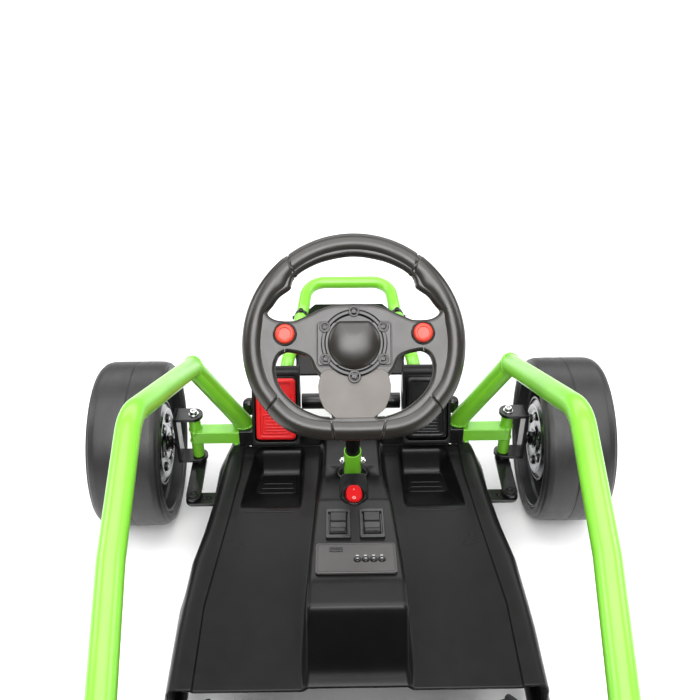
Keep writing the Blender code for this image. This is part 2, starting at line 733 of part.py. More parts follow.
def front_bumper():
    foot = RAIL_TOP + GAP
    left = [
        Vector((-0.0915, HOOP_LEG_LOW[0], foot)),
        Vector((-0.0915, *HOOP_LEG_LOW)),
        Vector((-0.0705, *HOOP_LEG_HIGH)),
        from_deck(0.268, 0.216, -0.064),
    ]
    right = [Vector((-p.x, p.y, p.z)) for p in reversed(left)]
    path = bent_path(left + right, (0.022, 0.060, 0.035, 0.035, 0.060, 0.022))
    swept_tube("front_bumper", path, HOOP_R, "lime_paint", (foot, foot), 10)


def nose_panel():
    """The moulded panel under the front hoop's two legs."""
    outline = [
        (0.053, 0.0), (0.0695, -0.024), (0.0785, -0.080), (0.0825, -0.110), (0.078, -0.140),
        (0.078, -0.170), (-0.078, -0.170), (-0.078, -0.140), (-0.0825, -0.110),
        (-0.0785, -0.080), (-0.0695, -0.024), (-0.053, 0.0),
    ]
    out = Vector((0.0, -math.sin(NOSE_SLOPE), math.cos(NOSE_SLOPE)))
    ahead = Vector((0.0, math.cos(NOSE_SLOPE), math.sin(NOSE_SLOPE)))
    leg = Vector((0.0, *HOOP_LEG_HIGH))
    base = frame_of(leg - out * (HOOP_R + GAP) + ahead * NOSE_AHEAD, (1, 0, 0), out)
    prism("nose_panel", outline, -0.004, 0.0, "pan_plastic", base)


PAN_STATIONS = (
    # ahead of the deck's line, tunnel half width, tunnel top, floor of the wells, half width
    (-0.0014, 0.036, 0.130, 0.114, 0.157),
    (-0.0150, 0.036, 0.130, 0.114, 0.160),
    (-0.0230, 0.036, 0.130, WELL_FLOOR, 0.160),
    (-0.0550, 0.037, 0.130, WELL_FLOOR, 0.161),
    (-0.0850, 0.039, 0.134, 0.097, 0.164),
    (-0.1150, 0.041, 0.1499, PAN_LEVEL, 0.167),
    (-0.1700, 0.044, 0.179, PAN_LEVEL, 0.173),
    (-0.2700, 0.050, 0.189, PAN_LEVEL, 0.184),
    (-0.3000, 0.051, 0.192, PAN_LEVEL, 0.184),
    (-0.3320, 0.052, 0.188, PAN_LEVEL, 0.184),
    (-0.3600, 0.052, 0.125, PAN_LEVEL, 0.184),
    (-0.3750, 0.052, 0.112, PAN_LEVEL, 0.184),
)


def pan_row(station):
    """Half of one cross-section, middle first: x and z of each point."""
    ahead, tunnel, top, well, half = station
    rim = PAN_LEVEL + 0.004 if ahead > -0.02 else PAN_LEVEL + max(0.0, 0.004 + ahead * 0.03)
    rim = max(rim, well)
    foot_half = tunnel + 0.006
    return [
        (0.0, top),
        (tunnel - 0.004, top),
        (tunnel, top - 0.003 if top - rim > 0.006 else top),
        (foot_half, rim),
        (0.0660, rim),
        (0.0715, well),
        (half - 0.010, well),
        (half - 0.004, rim + 0.001),
        (half, rim),
        (half + 0.001, PAN_SKIRT),
    ]


def floor_pan():
    rows = []
    for station in PAN_STATIONS:
        half = pan_row(station)
        full = [(-x, z) for x, z in reversed(half[1:])] + half
        rows.append([from_deck(station[0], z, x) for x, z in full])
    pan = moulded_shell("floor_pan", rows, PAN_WALL, "pan_plastic")
    top = PAN_STATIONS[3][2]
    cut(pan, prism("column_hole", circle_outline(SLEEVE_R + 0.006, 20), -0.03, 0.03,
                   "pan_plastic", column_frame(column_at(top))))
    for ahead in (-0.030, -0.038, -0.046):
        for sign in (-1, 1):
            low_x, high_x = sorted((sign * 0.085, sign * 0.140))
            low, high = from_deck(ahead, 0.0), from_deck(ahead + 0.003, 0.0)
            fuse(pan, block("rib_part", (low_x, low.y, WELL_FLOOR - 0.001),
                            (high_x, high.y, WELL_FLOOR + 0.0015), "pan_plastic"))


def pedal_boxes():
    lower = from_deck(-0.0283, BEAM_TOP + GAP)
    upper = lower + PEDAL_BOX_LENGTH * Vector((0, math.cos(PEDAL_LEAN), math.sin(PEDAL_LEAN)))
    out = Vector((0, -math.sin(PEDAL_LEAN), math.cos(PEDAL_LEAN)))
    profile = [
        (lower.y, lower.z),
        (upper.y, upper.z),
        (upper.y + 0.022, upper.z),
        (upper.y + 0.022, upper.z - 0.045),
        (lower.y + 0.042, lower.z),
    ]
    rows = (
        # box, sign of x, pedal, finish
        ("pedal_box_left", -1, "brake_pedal", "red_plastic"),
        ("pedal_box_right", 1, "throttle_pedal", "dark_plastic"),
    )
    for name, sign, pedal, finish in rows:
        side = Matrix(((0, 0, 1, 0), (1, 0, 0, 0), (0, 1, 0, 0), (0, 0, 0, 1)))
        middle = sign * PEDAL_X
        box = prism(name, profile, middle - PEDAL_BOX_WIDTH / 2, middle + PEDAL_BOX_WIDTH / 2,
                    "pan_plastic", side)
        face = frame_of((lower + upper) / 2 + Vector((middle, 0, 0)), (1, 0, 0), out)
        hollow = rounded_rectangle(PEDAL_WIDTH + 0.003, PEDAL_BOX_LENGTH - 2 * PEDAL_RIM,
                                   0.006, 3)
        cut(box, prism("pedal_hollow", hollow, -0.012, 0.02, "pan_plastic", face))
        plate = rounded_rectangle(PEDAL_WIDTH, PEDAL_BOX_LENGTH - 3 * PEDAL_RIM, 0.005, 3)
        floor = -0.012 + GAP
        made = prism(pedal, plate, 0.000, 0.006, finish, face)
        stem = rounded_rectangle(0.040, 0.030, 0.004, 3, (0.0, -0.020))
        fuse(made, prism("stem_part", stem, floor, 0.001, finish, face))
    reach = PEDAL_X - PEDAL_BOX_WIDTH / 2 - GAP
    at = from_deck(0.040, 0.160)
    rod("pedal_cross_tube", (-reach, at.y, at.z), (reach, at.y, at.z), 0.011, "black_paint",
        TUBE_SEGMENTS)


def tunnel_frame(first, ahead):
    """Frame on the tunnel's top, between one of the pan's stations and the next."""
    front, back = PAN_STATIONS[first], PAN_STATIONS[first + 1]
    rise = (back[2] - front[2]) / (front[0] - back[0])
    top = front[2] + (front[0] - ahead) * rise
    return frame_of(from_deck(ahead, top), (1, 0, 0), (0, rise, 1.0))


def console():
    """The power switch on the tunnel's slope, then two rockers and a panel behind it."""
    slope = tunnel_frame(5, -0.1473)
    ring = [(0.0, GAP), (0.0155, GAP), (0.0155, 0.005), (0.0140, 0.0065), (0.0, 0.0065)]
    turned("power_housing", ring, slope, 28, "dark_plastic")
    low = 0.0065 + GAP
    prism("power_switch", rounded_rectangle(0.019, 0.023, 0.004, 3), low, low + 0.004,
          "red_plastic", slope)
    level = tunnel_frame(6, -0.2142)
    for name, x in (("speed_switch", -0.0190), ("direction_switch", 0.0195)):
        spot = level @ Matrix.Translation((x, 0.0, 0.0))
        base = prism(name, rounded_rectangle(0.028, 0.042, 0.002, 2), GAP, 0.003,
                     "dark_plastic", spot)
        fuse(base, prism("rocker_part", rounded_rectangle(0.021, 0.030, 0.001, 2), 0.002,
                         0.0065, "dark_plastic", spot))
    prism("media_panel", rounded_rectangle(0.088, 0.046, 0.004, 3), GAP, 0.0035,
          "grey_plastic", tunnel_frame(6, -0.2702))


SEAT_ROWS = (
    # y and z of the middle, half width, y and z of the side's top
    (-0.150, 0.1180, 0.150, -0.150, 0.130),
    (-0.165, 0.1160, 0.156, -0.163, 0.140),
    (-0.185, 0.1060, 0.160, -0.180, 0.148),
    (-0.215, 0.0983, 0.163, -0.205, 0.156),
    (-0.280, 0.0983, 0.165, -0.250, 0.170),
    (-0.327, 0.0983, 0.166, -0.285, 0.186),
    (-0.350, 0.1070, 0.167, -0.303, 0.200),
    (-0.370, 0.1240, 0.168, -0.316, 0.215),
    (-0.382, 0.1500, 0.170, -0.328, 0.233),
    (-0.396, 0.2000, 0.175, -0.346, 0.265),
    (-0.411, 0.2600, 0.180, -0.366, 0.305),
    (-0.427, 0.3200, 0.182, -0.389, 0.345),
    (-0.443, 0.3800, 0.178, -0.415, 0.392),
    (-0.459, 0.4400, 0.162, -0.443, 0.442),
    (-0.468, 0.4750, 0.136, -0.460, 0.476),
    (-0.472, 0.4920, 0.104, -0.469, 0.493),
)
SEAT_ACROSS = (
    # part of the half width, part of the way up the side
    (0.00, 0.00),
    (0.35, 0.00),
    (0.62, 0.02),
    (0.78, 0.10),
    (0.90, 0.32),
    (0.97, 0.64),
    (1.00, 1.00),
)


def seat():
    rows = []
    for y, z, half, top_y, top_z in SEAT_ROWS:
        low = Vector((0, y, z))
        rise = Vector((0, top_y, top_z)) - low
        right = [low + rise * up + Vector((half * out, 0, 0)) for out, up in SEAT_ACROSS]
        left = [Vector((-p.x, p.y, p.z)) for p in reversed(right[1:])]
        rows.append(left + right)
    moulded_shell("seat_shell", rows, SEAT_WALL, "seat_plastic")


def wheel_frame(sign, y):
    """Z runs outwards from the tyre's inner face along the axle."""
    return frame_of((sign * TYRE_INNER_X, y, AXLE_Z), (0, 1, 0), (sign, 0, 0))


def tyre_profile():
    half = [
        (TYRE_BORE_R, 0.0030),
        (0.1035, 0.0000),
        (0.1095, 0.0025),
        (0.1138, 0.0080),
        (TYRE_R, 0.0180),
    ]
    return half + [(r, TYRE_WIDTH - h) for r, h in reversed(half)]


def wheels():
    rows = (
        # name, sign of x, axle y, bore radius
        ("front_left", -1, FRONT_AXLE_Y, STUB_R),
        ("front_right", 1, FRONT_AXLE_Y, STUB_R),
        ("rear_left", -1, REAR_AXLE_Y, REAR_ROD_R),
        ("rear_right", 1, REAR_AXLE_Y, REAR_ROD_R),
    )
    for name, sign, y, bore in rows:
        matrix = wheel_frame(sign, y)
        origin = (sign * (TYRE_INNER_X + TYRE_WIDTH / 2), y, AXLE_Z)
        lathe(f"{name}_tyre", tyre_profile(), matrix, WHEEL_SEGMENTS, "tyre_rubber", origin)
        web = RIM_WEB
        rear = y == REAR_AXLE_Y
        bore_r = bore + PIN_PLAY
        rim = [
            (RIM_R, 0.0030),
            (RIM_R, TYRE_WIDTH - 0.0030),
            (RIM_R - 0.005, TYRE_WIDTH - 0.0020),
            (RIM_R - 0.007, web + 0.010),
            (0.030, web + 0.006),
            (bore_r, web + 0.006),
            (bore_r, 0.004 if rear else web),
            (0.028, 0.004 if rear else web),
            (0.030, web),
            (RIM_R - 0.009, web),
            (RIM_R - 0.005, 0.0020),
        ]
        lathe(f"{name}_rim", rim, matrix, WHEEL_SEGMENTS, "rim_paint", origin)
        if rear:
            continue
        inside = web - GAP
        hub = [
            (bore_r, 0.0080),
            (0.020, 0.0080),
            (HUB_R - 0.012, 0.0100),
            (HUB_R, 0.0150),
            (HUB_R, 0.0185),
            (0.030, 0.0260),
            (0.026, inside),
            (bore_r, inside),
        ]
        lathe(f"{name}_hub", hub, matrix, HUB_SEGMENTS, "chrome", origin)


def drive():
    """A gearbox and motor inside each rear wheel, and the rear axle."""
    motor_y, motor_z = REAR_AXLE_Y - 0.042, AXLE_Z - 0.0095
    low_z = RAIL_TOP + GAP
    bore_r = REAR_ROD_R + PIN_PLAY
    for side, sign in (("left", -1), ("right", 1)):
        points = []
        for i in range(24):
            angle = 2 * math.pi * i / 24
            for cy, cz, radius in ((REAR_AXLE_Y, AXLE_Z, 0.042), (motor_y, motor_z, 0.036)):
                points.append((cy + radius * math.cos(angle), cz + radius * math.sin(angle)))
        x_side = Matrix(((0, 0, 1, 0), (1, 0, 0, 0), (0, 1, 0, 0), (0, 0, 0, 1)))
        low, high = sorted((sign * 0.176, sign * 0.214))
        gearbox = prism(f"gearbox_{side}", hull(points), low, high, "dark_plastic", x_side)
        cut(gearbox, rod("axle_bore", (low - 0.01, REAR_AXLE_Y, AXLE_Z),
                         (high + 0.01, REAR_AXLE_Y, AXLE_Z), bore_r, "dark_plastic"))
        fuse(gearbox, block("foot_part", (low, motor_y - 0.008, low_z),
                            (high, REAR_AXLE_Y + 0.020, 0.090), "dark_plastic"))
        rod(f"motor_{side}", (sign * (0.176 - GAP), motor_y, motor_z),
            (sign * 0.092, motor_y, motor_z), 0.026, "dark_plastic", 24)
    rod("rear_axle", (-STUB_END_X, REAR_AXLE_Y, AXLE_Z), (STUB_END_X, REAR_AXLE_Y, AXLE_Z),
        REAR_ROD_R, "steel", 16)


def hull(points):
    """Convex outline of flat points, anticlockwise."""
    points = sorted(set(points))

    def half(order):
        chain = []
        for p in order:
            while len(chain) > 1:
                (ax, ay), (bx, by) = chain[-2], chain[-1]
                if (bx - ax) * (p[1] - ay) - (by - ay) * (p[0] - ax) > 1e-9:
                    break
                chain.pop()
            chain.append(p)
        return chain[:-1]

    return half(points) + half(points[::-1])


def rear_parts():
    foot = RAIL_TOP + GAP
    block("battery_box", (-0.085, REAR_TUBE_Y - 0.012, foot), (0.085, REAR_TUBE_Y + 0.056, 0.230),
          "dark_plastic")
    left = [
        Vector((-0.150, REAR_TUBE_Y, foot)),
        Vector((-0.150, REAR_TUBE_Y, 0.120)),
        Vector((-0.150, REAR_TUBE_Y - 0.0245, 0.190)),
    ]
    right = [Vector((-p.x, p.y, p.z)) for p in reversed(left)]
    path = bent_path(left + right, (0.030,) * 4)
    swept_tube("rear_bumper", path, HOOP_R, "lime_paint", (foot, foot), 10)


def build():
    for old in list(bpy.data.objects):
        bpy.data.objects.remove(old, do_unlink=True)
    front_beam()
    knuckles()
    tie_rod()
    column()
    crank()
    steering_wheel()
    side_bars()
    beam_saddles()
    floor_frame()
    column_stand()
    front_bumper()
    nose_panel()
    floor_pan()
    pedal_boxes()
    console()
    seat()
    wheels()
    drive()
    rear_parts()


build()
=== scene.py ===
"""Looks of the electric drift kart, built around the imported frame."""

from math import acos, atan2, cos, exp, pi, radians, sin, sqrt, tan

import bmesh
import bpy
from mathutils import Matrix, Vector


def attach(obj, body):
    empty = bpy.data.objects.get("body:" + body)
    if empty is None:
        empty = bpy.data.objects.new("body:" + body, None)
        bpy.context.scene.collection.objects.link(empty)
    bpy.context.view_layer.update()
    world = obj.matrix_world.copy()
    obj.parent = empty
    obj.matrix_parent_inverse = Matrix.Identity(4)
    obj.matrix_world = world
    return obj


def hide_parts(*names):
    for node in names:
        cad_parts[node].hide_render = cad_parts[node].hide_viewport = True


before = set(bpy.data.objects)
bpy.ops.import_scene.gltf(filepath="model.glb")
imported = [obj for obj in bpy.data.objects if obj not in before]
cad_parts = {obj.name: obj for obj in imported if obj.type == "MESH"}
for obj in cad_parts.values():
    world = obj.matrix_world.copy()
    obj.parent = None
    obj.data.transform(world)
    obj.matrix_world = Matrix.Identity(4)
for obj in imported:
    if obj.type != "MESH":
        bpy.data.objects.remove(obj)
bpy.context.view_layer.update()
SCENE = bpy.context.scene
TAU = 2 * pi
UP = Vector((0, 0, 1))
SIDES = (("left", -1), ("right", 1))


# Materials

def node_of(tree, kind, **inputs):
    made = tree.nodes.new(kind)
    for name, value in inputs.items():
        made.inputs[name.replace("_", " ")].default_value = value
    return made


def surface(name, base, second, rough, spread, grain, depth, patch=18.0, metallic=0.0, coat=0.0,
        coat_rough=0.08, specular=0.5, swell=0.0, stretch=(1, 1, 1)):
    """A finish whose colour, gloss and relief vary over the surface."""
    made = bpy.data.materials.new(f"{name}_finish")
    made.use_nodes = True
    tree = made.node_tree
    link = tree.links.new
    shader = tree.nodes["Principled BSDF"]
    for socket, value in (("Metallic", metallic), ("Coat Weight", coat), ("Coat Roughness", coat_rough),
            ("Specular IOR Level", specular)):
        shader.inputs[socket].default_value = value
    place = tree.nodes.new("ShaderNodeTexCoord")
    squeeze = tree.nodes.new("ShaderNodeMapping")
    squeeze.inputs["Scale"].default_value = stretch
    link(place.outputs["Object"], squeeze.inputs["Vector"])

    def noise(source, **inputs):
        field = node_of(tree, "ShaderNodeTexNoise", **inputs)
        link(source, field.inputs["Vector"])
        return field.outputs["Fac"]

    cloud = noise(squeeze.outputs["Vector"], Scale=patch, Detail=5.0, Roughness=0.6)
    tint = tree.nodes.new("ShaderNodeMix")
    tint.data_type = "RGBA"
    tint.inputs["A"].default_value = (*base, 1)
    tint.inputs["B"].default_value = (*second, 1)
    spreader = node_of(tree, "ShaderNodeMapRange", From_Min=0.35, From_Max=0.68)
    link(cloud, spreader.inputs["Value"])
    link(spreader.outputs["Result"], tint.inputs["Factor"])
    link(tint.outputs["Result"], shader.inputs["Base Color"])
    haze = noise(squeeze.outputs["Vector"], Scale=patch * 3.1, Detail=6.0, Roughness=0.65)
    gloss = node_of(tree, "ShaderNodeMapRange", From_Min=0.3, From_Max=0.7, To_Min=rough - spread,
        To_Max=rough + spread)
    link(haze, gloss.inputs["Value"])
    link(gloss.outputs["Result"], shader.inputs["Roughness"])
    speck = noise(place.outputs["Object"], Scale=grain, Detail=2.0, Roughness=0.5)
    bump = node_of(tree, "ShaderNodeBump", Strength=1.0, Distance=depth)
    link(speck, bump.inputs["Height"])
    if swell:
        wave = noise(place.outputs["Object"], Scale=70.0, Detail=1.0)
        lower = node_of(tree, "ShaderNodeBump", Strength=1.0, Distance=swell)
        link(wave, lower.inputs["Height"])
        link(lower.outputs["Normal"], bump.inputs["Normal"])
    link(bump.outputs["Normal"], shader.inputs["Normal"])
    return made


LIME = surface("lime", (0.2, 0.6, 0.032), (0.18, 0.55, 0.027), 0.34, 0.04, 420.0, 0.00002, coat=0.45,
    coat_rough=0.2, swell=0.00004)
WELD = surface("weld", (0.18, 0.54, 0.03), (0.13, 0.4, 0.022), 0.36, 0.1, 420.0, 0.0002, patch=160.0,
    coat=0.4, coat_rough=0.15)
BLACK = surface("black", (0.0035, 0.0035, 0.0038), (0.0055, 0.0055, 0.0058), 0.32, 0.06, 520.0, 0.00006,
    coat=0.12)
PAN = surface("pan", (0.0042, 0.0042, 0.0044), (0.0056, 0.0056, 0.0058), 0.32, 0.03, 1400.0, 0.00006,
    specular=0.25)
SATIN = surface("satin", (0.015, 0.0126, 0.0105), (0.0195, 0.0166, 0.014), 0.31, 0.04, 1600.0, 0.00005,
    specular=0.6)
# Chin plate colour: a lighter grey than the rest of the wheel, with painted sheen from the light above
# the camera added into it
CHIN_WITH_PAINTED_SHEEN = surface("chin", (0.105, 0.092, 0.08), (0.125, 0.11, 0.096), 0.38, 0.04, 1500.0, 0.00006)
DARK = surface("dark", (0.0022, 0.0022, 0.0024), (0.0038, 0.0038, 0.0041), 0.22, 0.05, 1200.0, 0.00003)
GREY = surface("grey", (0.04, 0.037, 0.036), (0.05, 0.047, 0.045), 0.4, 0.04, 1500.0, 0.00006)
RED = surface("red", (0.62, 0.008, 0.01), (0.52, 0.006, 0.008), 0.3, 0.05, 900.0, 0.00003, coat=0.1,
    specular=0.35)
CORAL = surface("coral", (0.62, 0.05, 0.024), (0.55, 0.036, 0.018), 0.34, 0.05, 900.0, 0.00003, coat=0.1,
    specular=0.4)
MARK = surface("mark", (0.72, 0.72, 0.72), (0.62, 0.62, 0.62), 0.5, 0.05, 900.0, 0.00002)
RUBBER = surface("tyre", (0.015, 0.0138, 0.0145), (0.02, 0.0184, 0.019), 0.42, 0.07, 700.0, 0.0001,
    stretch=(3.0, 1, 1))
RIM = surface("rim", (0.02, 0.021, 0.022), (0.03, 0.031, 0.033), 0.36, 0.08, 800.0, 0.00004, metallic=0.2)
CHROME = surface("chrome", (0.32, 0.325, 0.34), (0.22, 0.225, 0.235), 0.22, 0.06, 240.0, 0.00006,
    patch=120.0, metallic=1.0, swell=0.0004)
STEEL = surface("steel", (0.72, 0.72, 0.73), (0.62, 0.62, 0.63), 0.24, 0.06, 900.0, 0.00004, metallic=1.0)
SEAT = surface("seat", (0.012, 0.012, 0.0125), (0.018, 0.018, 0.0185), 0.44, 0.06, 1300.0, 0.00008)

FINISH_WORDS = (
    # finish, how the names of its nodes start
    (LIME, ("front_beam", "column_sleeve", "side_bar", "front_bumper", "rear_bumper")),
    (SATIN, ("steering_wheel", "hub_cap")),
    (RED, ("horn_button", "brake_pedal", "power_switch")),
    (STEEL, ("kingpin", "column_bolt", "rear_axle")),
    (SEAT, ("seat_shell",)),
    (PAN, ("floor_pan", "nose_panel", "pedal_box")),
    (GREY, ("media_panel",)),
    (DARK, ("throttle_pedal", "power_housing", "speed_switch", "direction_switch",
            "gearbox", "motor", "battery_box")),
)


def finish_of(name):
    for part, kind in (("_tyre", RUBBER), ("_rim", RIM), ("_hub", CHROME)):
        if name.endswith(part):
            return kind
    for kind, starts in FINISH_WORDS:
        if name.startswith(starts):
            return kind
    return BLACK


for name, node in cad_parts.items():
    for each in node.material_slots:
        each.material = finish_of(name)


# Flat lines

def circle(radius, steps=64, centre=(0, 0), start=0.0):
    angles = [TAU * i / steps + start for i in range(steps)]
    return [(centre[0] + radius * cos(a), centre[1] + radius * sin(a)) for a in angles]


def fillet(points, radii, steps=5, closed=True):
    """A flat line with its corners rounded, each to the same number of points."""
    count = len(points)
    out = []
    for i, corner in enumerate(points):
        corner = Vector(corner)
        radius = radii[i] if isinstance(radii, (list, tuple)) else radii
        if not closed and i in (0, count - 1):
            out.append(corner)
            continue
        before = Vector(points[i - 1]) - corner
        after = Vector(points[(i + 1) % count]) - corner
        reach_most = 0.48 * min(before.length, after.length)
        before.normalize()
        after.normalize()
        half = before.angle(after) / 2
        if half > 1.54 or radius == 0:
            reach = min(max(radius, 1e-5), reach_most)
            for k in range(steps + 1):
                out.append((corner + before * reach).lerp(corner + after * reach, k / steps))
            continue
        reach = min(radius / tan(half), reach_most)
        bend = reach * tan(half)
        centre = corner + (before + after).normalized() * (bend / sin(half))
        first = corner + before * reach - centre
        last = corner + after * reach - centre
        start = atan2(first.y, first.x)
        turn = (atan2(last.y, last.x) - start + pi) % TAU - pi
        for k in range(steps + 1):
            angle = start + turn * k / steps
            out.append(centre + bend * Vector((cos(angle), sin(angle))))
    return out


def rounded(points, radii, steps=4):
    """An open line with its inner corners rounded."""
    return fillet(points, radii, steps, closed=False)


def box_line(width, height, radius, centre=(0, 0), steps=8):
    x, y = width / 2, height / 2
    corners = [(centre[0] + sx * x, centre[1] + sy * y) for sx, sy in ((1, 1), (-1, 1), (-1, -1),
        (1, -1))]
    return fillet(corners, radius, steps)


def slot_line(start, end, radius, steps=20):
    """A bar with round ends between two points."""
    heading = atan2(end[1] - start[1], end[0] - start[0])
    out = []
    for centre, turn in ((end, heading - pi / 2), (start, heading + pi / 2)):
        for i in range(steps + 1):
            angle = turn + pi * i / steps
            out.append((centre[0] + radius * cos(angle), centre[1] + radius * sin(angle)))
    return out


def smooth_loop(points, times=6):
    """A closed line through the same points, with more between them."""
    points = [Vector(p) for p in points]
    count = len(points)
    out = []
    for i in range(count):
        a, b = points[i - 1], points[i]
        c, d = points[(i + 1) % count], points[(i + 2) % count]
        for k in range(times):
            t = k / times
            out.append(0.5 * (2 * b + (c - a) * t + (2 * a - 5 * b + 4 * c - d) * t * t
                + (3 * b - a - 3 * c + d) * t * t * t))
    return out


def frame_of(origin, z_axis, x_axis=(1, 0, 0)):
    """Matrix with its Z along z_axis and its X as near x_axis as can be."""
    z = Vector(z_axis).normalized()
    y = z.cross(Vector(x_axis)).normalized()
    x = y.cross(z)
    matrix = Matrix((x, y, z)).transposed().to_4x4()
    matrix.translation = Vector(origin)
    return matrix


def line_frame(start, end):
    """Frame at start whose Z points to end."""
    along = (Vector(end) - Vector(start)).normalized()
    side = (1, 0, 0) if abs(along.x) < 0.9 else (0, 1, 0)
    return frame_of(start, along, side)


def shift(matrix, x=0.0, y=0.0, z=0.0):
    return matrix @ Matrix.Translation((x, y, z))


def sideways(x):
    return Vector((x, 0, 0))


def mirrored(points):
    """The points on the other side of the middle plane, in the opposite order."""
    return [Vector((-p[0], *p[1:])) for p in reversed(points)]


def pillow(away, soft, least):
    """The share of its height that a key has at some distance from its edge."""
    edge = min(1.0, away / soft)
    return least + (1 - least) * sqrt(max(0.0, 1 - (1 - edge) ** 2))


# Pieces

class Shape:
    """Points and faces gathered for one visible piece."""

    def __init__(self):
        self.points = []
        self.faces = []

    def add(self, points, faces):
        base = len(self.points)
        self.points += [Vector(p) for p in points]
        self.faces += [[base + i for i in face] for face in faces]
        return self

    def grid(self, rows, loop_rows=False, loop_columns=False, caps=False):
        wide, count = len(rows[0]), len(rows)
        faces = []
        for i in range(count if loop_rows else count - 1):
            for k in range(wide if loop_columns else wide - 1):
                a, b = i * wide, ((i + 1) % count) * wide
                m = (k + 1) % wide
                faces.append([a + k, a + m, b + m, b + k])
        if caps:
            faces.append(list(range(wide)))
            faces.append(list(range((count - 1) * wide, count * wide)))
        return self.add([p for row in rows for p in row], faces)

    def torus(self, rows):
        return self.grid(rows, loop_rows=True, loop_columns=True)

    def capped(self, rows):
        return self.grid(rows, loop_columns=True, caps=True)

    def lathe(self, profile, matrix, steps=64):
        """Turn a line of (radius, height) about the matrix's Z."""
        rows = []
        for i in range(steps):
            c, s = cos(TAU * i / steps), sin(TAU * i / steps)
            rows.append([matrix @ Vector((p[0] * c, p[0] * s, p[1])) for p in profile])
        return self.grid(rows, loop_rows=True)

    def turn(self, line, bends, matrix, steps=64, corners=4):
        """Turn an open line, with its inner corners rounded, about the matrix's Z."""
        return self.lathe(fillet(line, bends, corners, closed=False), matrix, steps)

    def ring(self, section, matrix, steps=64):
        """Turn a closed line about the matrix's Z."""
        return self.lathe(section + [section[0]], matrix, steps)

    def prism(self, outline, low, high, matrix=None):
        matrix = matrix or Matrix()
        rows = [[matrix @ Vector((p[0], p[1], h)) for p in outline] for h in (low, high)]
        return self.capped(rows)

    def block(self, low, high):
        outline = [(low[0], low[1]), (high[0], low[1]), (high[0], high[1]), (low[0], high[1])]
        return self.prism(outline, low[2], high[2])

    def rod(self, start, end, radius, edge=0.0008, steps=48):
        """A round bar with softened ends."""
        length = (Vector(end) - Vector(start)).length
        line = rounded([(0, 0), (radius, 0), (radius, length), (0, length)], edge)
        return self.lathe(line, line_frame(start, end), steps)

    def make(self, name, finish, body="chassis", hides=(), bevel=0.0, sharp=38.0):
        mesh = bpy.data.meshes.new(name)
        mesh.from_pydata(self.points, [], self.faces)
        clean(mesh, 2e-6, None if bevel else sharp)
        return settle(name, mesh, finish, body, hides, bevel)


def clean(mesh, nearest, sharp=None):
    """Joins doubled points, turns the faces outwards and shades them smooth up to an angle."""
    work = bmesh.new()
    work.from_mesh(mesh)
    bmesh.ops.remove_doubles(work, verts=work.verts, dist=nearest)
    bmesh.ops.recalc_face_normals(work, faces=work.faces)
    for face in work.faces:
        face.smooth = True
    if sharp:
        for edge in work.edges:
            if len(edge.link_faces) == 2:
                edge.smooth = edge.calc_face_angle() < radians(sharp)
    work.to_mesh(mesh)
    work.free()


def soften(made, width, degrees):
    """Rounds every edge sharper than an angle."""
    soft = made.modifiers.new("soft_edges", "BEVEL")
    soft.width = width
    soft.segments = 3
    soft.limit_method = "ANGLE"
    soft.angle_limit = radians(degrees)
    soft.harden_normals = True


def settle(name, mesh, finish, body="chassis", hides=(), bevel=0.0):
    """Puts a finished mesh in the scene, on its body, in place of its CAD nodes."""
    made = bpy.data.objects.new(name, mesh)
    mesh.materials.clear()
    mesh.materials.append(finish)
    SCENE.collection.objects.link(made)
    if bevel:
        soften(made, bevel, 38.0)
    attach(made, body)
    for node in hides:
        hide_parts(node)
    return made


def plate(name, outlines, low, high, edge, matrix, finish, body="chassis", hides=()):
    """A flat plate with holes and rounded edges: the first outline is its outside."""
    curve = bpy.data.curves.new(name, "CURVE")
    curve.dimensions = "2D"
    curve.fill_mode = "BOTH"
    curve.extrude = (high - low) / 2 - edge
    curve.bevel_depth = edge
    curve.bevel_resolution = 3
    curve.offset = -edge
    for outline in outlines:
        line = curve.splines.new("POLY")
        line.points.add(len(outline) - 1)
        for point, flat in zip(line.points, outline):
            point.co = (flat[0], flat[1], 0, 1)
        line.use_cyclic_u = True
    holder = bpy.data.objects.new(name, curve)
    SCENE.collection.objects.link(holder)
    seen = holder.evaluated_get(bpy.context.evaluated_depsgraph_get())
    mesh = bpy.data.meshes.new_from_object(seen)
    bpy.data.objects.remove(holder)
    mesh.transform(matrix @ Matrix.Translation((0, 0, (low + high) / 2)))
    clean(mesh, 1e-6)
    made = settle(name, mesh, finish, body, hides)
    even = made.modifiers.new("even_normals", "WEIGHTED_NORMAL")
    even.weight = 100
    return made


# Tubes and welds

def bent_path(points, bends, steps=14):
    """Points of a bent line; each inner corner has a radius, 0 for a mitre."""
    points = [Vector(p) for p in points]
    path = [points[0]]
    for bend, before, corner, after in zip(bends, points, points[1:], points[2:]):
        back = (before - corner).normalized()
        ahead = (after - corner).normalized()
        half = back.angle(ahead) / 2
        if half > radians(89.0) or not bend:
            path.append(corner)
            continue
        reach = min(bend / tan(half), 0.49 * (before - corner).length, 0.49 * (after - corner).length)
        radius = reach * tan(half)
        centre = corner + (back + ahead).normalized() * (radius / sin(half))
        start = corner + back * reach - centre
        end = corner + ahead * reach - centre
        axis = start.cross(end).normalized()
        for i in range(steps + 1):
            path.append(centre + Matrix.Rotation(start.angle(end) * i / steps, 3, axis) @ start)
    path.append(points[-1])
    return path


